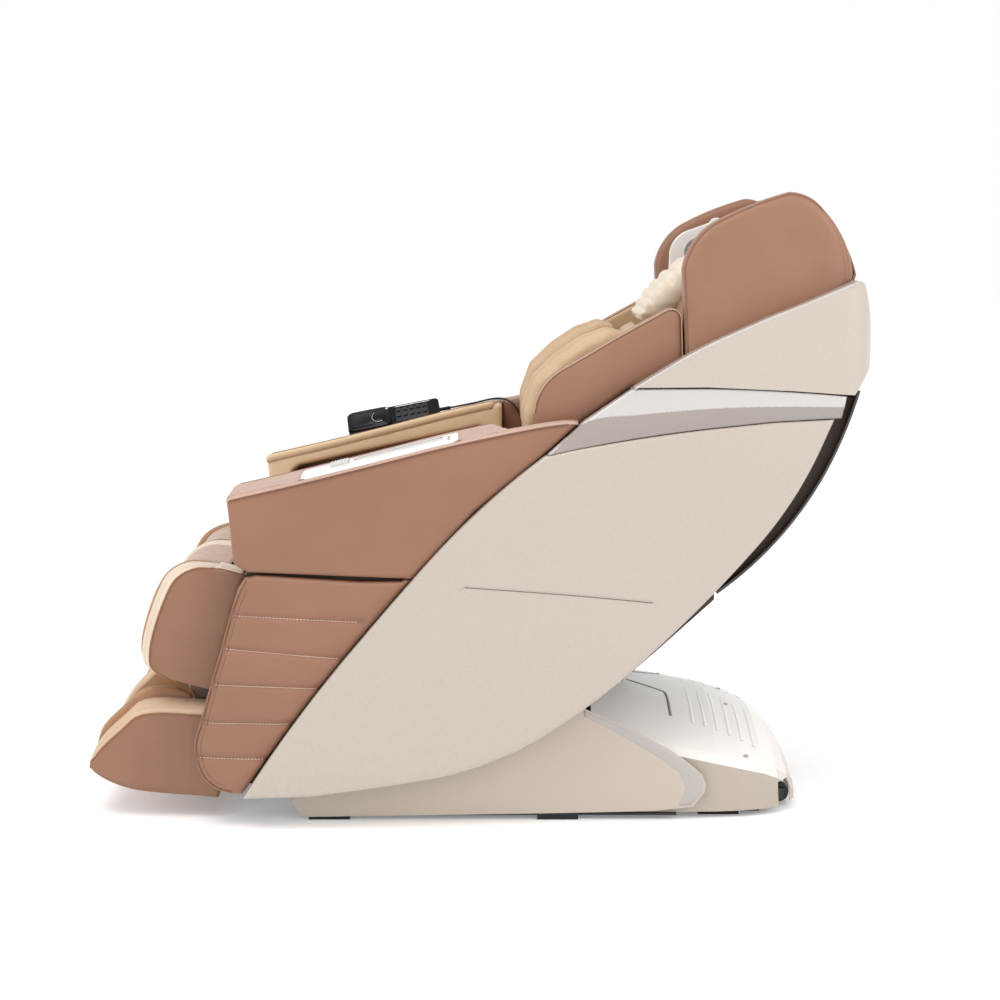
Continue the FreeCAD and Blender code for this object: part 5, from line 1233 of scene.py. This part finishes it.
def wells(crest, bottom, back, side_back, rise, lip, wrinkle):
    """A section across the wells: x, height and mark of its points, and the heights of the strip's edges."""
    roll = min(21.0, 0.4 * (crest - back))
    shoulder = crest - roll
    dish = bottom + min(12, (crest - bottom) * 0.25)
    inner = WALL_IN - 18
    centre = (MIDDLE_WALL + inner) / 2
    half = []
    for share in (0, 0.12, 0.3, 0.5, 0.7, 0.86, 0.96):
        swell = 2.2 * bulge(share) + wrinkle * bulge(share) ** 0.5
        half.append((WALL_OUT - 2.6 + swell, side_back + (shoulder - 2.5 - side_back) * share, SIDE_MARK))
    half.append((WALL_OUT - 4.0, shoulder - 1.0, SIDE_MARK))
    for share in np.linspace(0, 1, 16):
        t = shoulder + 0.4 + roll * (1 - (1 - share) ** 2.3) ** (1 / 1.5) - 4 * ramp(share, 0.82, 1) ** 2
        half.append((WALL_OUT - 1.2 - (WALL_OUT - WALL_IN - 2.2) * share, t, STRIP_MARK))
    half.append((WALL_IN + 2.5, crest - 8.0, LINING_MARK))
    for share in np.linspace(0, 1, 9):
        t = crest - 14 + (14 + lip) * bulge(share) ** 0.7
        half.append((WALL_IN - 9 + 9 * math.cos(math.pi * share), t, LINING_MARK))
    for share in (0.85, 0.6, 0.35, 0.12):
        half.append((inner + 2.0 - 4 * bulge(share), dish + (crest - 14 - dish) * share, LINING_MARK))
    for x in np.linspace(inner - 4, MIDDLE_WALL + 4, 13):
        off = (x - centre) / (inner - centre)
        half.append((x, bottom + (dish - bottom) * off**2 + 2.0 * abs(math.sin(off * 7.5)), LINING_MARK))
    for share in (0.12, 0.35, 0.6, 0.85, 0.97):
        t = dish + (crest - 18 + rise - dish) * share
        half.append((MIDDLE_WALL + 2.4 * bulge(share), t, LINING_MARK))
    for angle in np.linspace(0, math.pi / 2, 9)[:-1]:
        t = crest - 17 + rise + 17 * math.sin(angle) ** 0.72
        half.append((MIDDLE_WALL * math.cos(angle) ** 0.8, t, STRIP_MARK))
    behind = [
        (WALL_OUT - 12, side_back - 4, BACK_MARK), (262, side_back - 3, BACK_MARK), (260, back, BACK_MARK),
    ]
    whole = half + [(0.0, crest + rise, STRIP_MARK)] + [(-x, t, mark) for x, t, mark in half[::-1]]
    whole += [(-x, t, mark) for x, t, mark in behind] + behind[::-1]
    return whole, shoulder, crest - 3.0


def rolled_ends(stations, section, place, reach=4):
    """Rings at each station with both ends rolled over, the marks round them, and the strips' edges."""
    rings, edges = [], []
    for station in stations:
        points, shoulder, inner_edge = section(*station)
        rings.append(np.array([place(station[0], x, t) for x, t, _ in points]))
        edges.append((station[0], shoulder, inner_edge))
    ends = []
    for ring, near in ((rings[0], rings[1]), (rings[-1], rings[-2])):
        way = (ring - near).mean(0)
        way /= np.linalg.norm(way)
        toward = ring.mean(0) - ring
        size = np.linalg.norm(toward, axis=1)[:, None]
        rolled = []
        for angle in np.radians((30, 60, 85)):
            shrink = np.minimum(reach * (1 - math.cos(angle)), size * 0.8)
            rolled.append(ring + toward / size * shrink + way * reach * math.sin(angle))
        ends.append(rolled)
    return ends[0][::-1] + rings + ends[1], [mark for _, _, mark in points], edges


def leg_place(along, x, t):
    return KNEE + DOWN_LEG * along + FORWARD * t + np.array((x, 0, 0))


def foot_place(y, x, t):
    return np.array((x, y, t))


def calf_section(along, crest):
    deepening = ramp(along, 50, 110)
    bottom = crest - 12 - max(0, crest - 58) * deepening
    rise = 3 * deepening - 5 * (1 - ramp(along, 0, 60))
    lip = 2 + 5 * ramp(along, 5, 75) * ramp(222 - along, 0, 20)
    return wells(crest, bottom, 14, -24, rise, lip, 1.6 * uneven(along * 0.05, crest * 0.02, 9.1))


def foot_section(y, sole, crest, bottom):
    bottom = min(bottom, crest - 12)
    rise = 26 * ramp(crest - bottom, 0, 90) if bottom < 120 else 0
    lip = 19 * ramp(y, -748, -732) * ramp(-552 - y, 0, 40) ** 0.5
    return wells(crest, bottom, sole, sole - 2, rise, max(lip, 0.5), 1.6 * uneven(y * 0.03, 2.2, 4.4))


def trim_edges(prefix, thing, edges, place, body, way, ends):
    """Piping along both edges of the cream strips, and stitches beside it."""
    runs = []
    for hand in (1, -1):
        for x, which in ((WALL_OUT - 2.6, 1), (WALL_IN + 1.6, 2)):
            line = [place(edge[0], x * hand, edge[which]) for edge in edges[ends:len(edges) - ends]]
            cord_of("%s_piping_%d" % (prefix, x * hand), line, 1.6, TAN_PIPING, body, "leather_leg")
        for x in (WALL_OUT - 9, WALL_IN + 12):
            above = [place(edge[0], x * hand, edge[1] + 40) for edge in edges[ends + 1:len(edges) - ends - 1]]
            runs.append(cast(thing, above, way, 0.15))
    stitches(prefix + "_stitches", runs, THREAD_TAN, body, 6.5)


rings, marks, edges = rolled_ends(CALF_STATIONS, calf_section, leg_place)
calf = capped("calf_wells", rings, BROWN, CREAM, GOLD, BROWN, marks=marks, cap_mark=BACK_MARK)
knee_end = KNEE - DOWN_LEG * 12.5
for face in calf.data.polygons:
    spot = np.array(face.center) / S
    if (spot - knee_end) @ DOWN_LEG < 0 and face.material_index != LINING_MARK:
        strip = 243 < abs(spot[0]) < 299 or 1 < abs(spot[0]) < 36
        face.material_index = STRIP_MARK if strip else LINING_MARK
stands_for(calf, "leg_rest", "leather_leg", "calf_unit", fill=0.8)

# The cream strips run on over the knee end
for number, (centre_x, half, rear) in enumerate(((271.5, 26, -20), (-271.5, 26, -20), (0, 33, 15))):
    rings = [[leg_place(-14.5 - 3.5 * s, centre_x + half * c, t) for c, s in soft_square(20, 0.5, 0.8)]
             for t in np.linspace(rear, 30, 9)]
    stands_for(capped("knee_strip_%d" % number, rings, CREAM), "leg_rest", "leather_leg", fill=0.8)
trim_edges("calf", calf, edges, leg_place, "leg_rest", -FORWARD, 2)

rings, marks, edges = rolled_ends(FOOT_STATIONS, foot_section, foot_place)
foot = capped("foot_wells", rings, BROWN, FOOT_CREAM, GOLD, BROWN, marks=marks, cap_mark=SIDE_MARK)
stands_for(foot, "foot_rest", "leather_leg", "foot_unit", fill=0.8)
trim_edges("foot", foot, edges, foot_place, "foot_rest", DOWN, 3)

# Soft lining that joins the two units behind the ankles, coloured dark brown as painted shade
half_line = [(243, 46), (243, 36), (243, 26), (243, 16), (240, 6), (232, 0)]
half_line += [(x, 0) for x in range(210, -1, -30)]
rings = []
for share in np.linspace(0, 1, 22):
    sag = 5 * bulge(share) + 2.2 * math.sin(share * math.pi * 5)
    y, z = -560 + 14 * share - sag, 292 - 88 * share
    ring = []
    for j, (x, back) in enumerate(half_line + [(-x, back) for x, back in half_line[-2::-1]]):
        pleat = 2.4 * math.sin(j * 2.1 + share * 5)
        ring.append((x + math.copysign(pleat, x) * (back > 0), y + back + pleat * (back == 0), z))
    rings.append(ring + [(x * 0.96, behind + 8, z) for x, behind, z in ring[::-1]])
ankle = capped("ankle_lining", rings, ANKLE_SHADE)
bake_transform(ankle)


# Rim along the head shell, and the band on the outer face of the base side covers
RIM_TOP = curve([(303, 851), (350, 879.5), (400, 910), (450, 936), (547, 979), (620, 1008), (706, 1044.5)], 7)
RIM_SECTION = (
    (0.4, 384.5), (0.5, 386.9), (0.9, 388.0), (1.6, 388.5), (2.6, 388.6), (3.6, 388.3), (4, 387.4),
    (3.9, 384.5),
)
BAND = curve([(218, 221), (281, 194), (356, 154), (416, 118), (446, 92), (453, 73), (450, 57), (430, 32)])
BAND_SHARES = (0, 0.25, 0.5, 0.72, 0.85, 1)
BAND_INNER = ((219, 276, 346, 402, 414, 402), (206, 176, 136, 96, 66, 30))
BAND_SECTION = ((0, 308), (0.02, 309.6), (0.1, 310.8), (0.5, 311.2), (0.85, 310.6), (1, 309.4), (1, 307.5))
for side, hand in SIDES:
    # The rim is a lighter bead along the head shell's top edge: painted highlight
    rings = [[(out * hand, y + dz * depth, z - dy * depth) for depth, out in RIM_SECTION]
             for (y, z), (dy, dz) in zip(RIM_TOP, headings(RIM_TOP))]
    on_seat(capped("head_shell_rim_" + side, rings, RIM_PAINTED_HIGHLIGHT), slot="shell_ivory")
    rings = []
    for share, (y, z) in zip(np.linspace(0, 1, len(BAND)), BAND):
        across = np.array([np.interp(share, BAND_SHARES, row) for row in BAND_INNER]) - (y, z)
        rings.append([(out * hand, *((y, z) + across * part)) for part, out in BAND_SECTION])
    stands_for(capped("base_band_" + side, rings, BAND_PAINT), "base", "base_ivory")

# Grooves, ribs and screw caps on the base's rear cover, and the wheels' hubs
GROOVE = curve([(38, 318), (72, 380), (92, 395), (184, 397)])
CIRCLE = soft_square(20, 1.0)
rear_cover = CAD["base_rear_cover"]
for side, hand in SIDES:
    # Each groove is a grey bead: painted shade where the groove lies
    groove = cast(rear_cover, [(hand * x, y, 300) for x, y in GROOVE], DOWN, -3.2)
    cord_of("base_groove_" + side, groove, 4.6, GROOVE_PAINTED_SHADE, "base", "base_ivory")
    # The ribs carry the rear cover's painted light: lighter on top, darker on their sides
    for k in range(6):
        columns = np.linspace(28 + 6 * k, 190 + 4 * k, 22)
        rib = cast(rear_cover, [(hand * x, 440 + 24 * k, 300) for x in columns], DOWN, -6.3)
        cord_of("base_rib_%s_%d" % (side, k), rib, 7.0, REAR_PAINT_LIT_TOP, "base", "base_ivory")
    rings = [[((249 + out) * hand, 608 + r * c, 39 + r * s) for c, s in CIRCLE]
             for r, out in ((5.0, -2), (5.0, 0.6), (4.2, 1.2), (0.4, 1.4))]
    stands_for(capped("wheel_hub_" + side, rings, BAND_PAINT), "wheel_" + side, "base_ivory")
    for number, (x, y) in enumerate(((67, 520), (250, 540))):
        centre = cast(rear_cover, [(hand * x, y, 300)], DOWN)[0]
        rings = [[centre + (r * c, r * s, h) for c, s in CIRCLE]
                 for r, h in ((6.2, -2.5), (6.2, 0.7), (5.4, 1.3), (0.4, 1.5))]
        stands_for(capped("base_cap_%s_%d" % (side, number), rings, BAND_PAINT), "base", "base_ivory")


# Remote control: screen, round pad and keys, laid in its own frame
EDGE = np.array((-300.0, -178.763, 715.056))
ALONG = np.array((0, 0.981627, 0.190809))
FACE_UP = np.array((-0.743145, -0.127676, 0.656837))
FACE_OUT = np.array((0.669131, -0.141799, 0.729491))


def on_handset(along, up, out):
    return EDGE + ALONG * along + FACE_UP * up + FACE_OUT * out


def key(name, along, up, half_along, half_up, low, height, power, material, body="handset"):
    rings = [[on_handset(along + (half_along - shrink) * c, up + (half_up - shrink) * s, out)
              for c, s in soft_square(28, power)]
             for shrink, out in ((0, low), (0, height * 0.6), (0.35, height * 0.9), (1.0, height))]
    stands_for(capped(name, rings, material), body, "plastic_black")


key("remote_head", -54, 29, 48, 28.5, -3.0, 6.0, 0.3, BLACK_GLOSS)
key("remote_screen", -62, 29, 31.5, 18.5, 4.5, 6.4, 0.25, SCREEN_GLASS)
key("remote_dial", -32, 29, 17.5, 17.5, 4.8, 7.4, 1.0, BLACK_GLOSS)
dial_arc = [on_handset(-32 + 15.5 * math.cos(angle), 29 + 15.5 * math.sin(angle), 7.6)
            for angle in np.linspace(2.2, 5.2, 24)]
cord_of("remote_dial_arc", dial_arc, 0.5, LEGEND, "handset", "plastic_black")
key("remote_dial_middle", -13, 50, 3.4, 3.4, 4.5, 6.8, 1.0, LEGEND)
key("remote_trim", 45, 54.5, 40, 1.1, -0.4, 0.5, 0.5, LEGEND)
for column in range(5):
    for row in range(3):
        if (column * 2 + row * 3) % 4 != 3:
            name = "remote_legend_%d_%d" % (column, row)
            key(name, 12 + 15 * column, 13 + 16 * row, 1.5, 1.0, -0.4, 1.3, 0.8, LEGEND, "keys")

# Floor and light
corners = [(-30, -30, 0), (30, -30, 0), (30, 30, 0), (-30, 30, 0)]
floor = mesh("floor", corners, [(0, 1, 2, 3)], [], smooth=False)
floor_look = bpy.data.materials.new("floor_look")
floor_look.use_nodes = True
floor_surface = floor_look.node_tree.nodes["Principled BSDF"]
for label, value in (("Base Color", (0.9, 0.9, 0.9, 1)), ("Roughness", 0.9), ("Specular IOR Level", 0.05),
                     ("Emission Color", (1, 1, 1, 1)), ("Emission Strength", 0.2)):
    floor_surface.inputs[label].default_value = value
floor.data.materials.append(floor_look)
world = bpy.data.worlds.new("studio")
scene.world = world
world.use_nodes = True
world.node_tree.nodes["Background"].inputs["Color"].default_value = (1, 1, 1, 1)
world.node_tree.nodes["Background"].inputs["Strength"].default_value = 1.0


def lamp(name, place, target, size, power):
    data = bpy.data.lights.new(name, "AREA")
    data.shape = "DISK"
    data.size = size
    data.energy = power
    made = bpy.data.objects.new(name, data)
    scene.collection.objects.link(made)
    made.location = place
    made.rotation_euler = (Vector(target) - Vector(place)).to_track_quat("-Z", "Y").to_euler()


lamp("key", (1.7, -1.0, 3.2), (0, 0, 0.6), 1.8, 42)
lamp("rear", (2.2, 2.6, 2.0), (0, 0.2, 0.6), 1.8, 36)
lamp("front", (0.6, -3.2, 1.4), (0, 0, 0.5), 2.0, 14)
scene.view_settings.view_transform = "Standard"

bpy.context.view_layer.update()
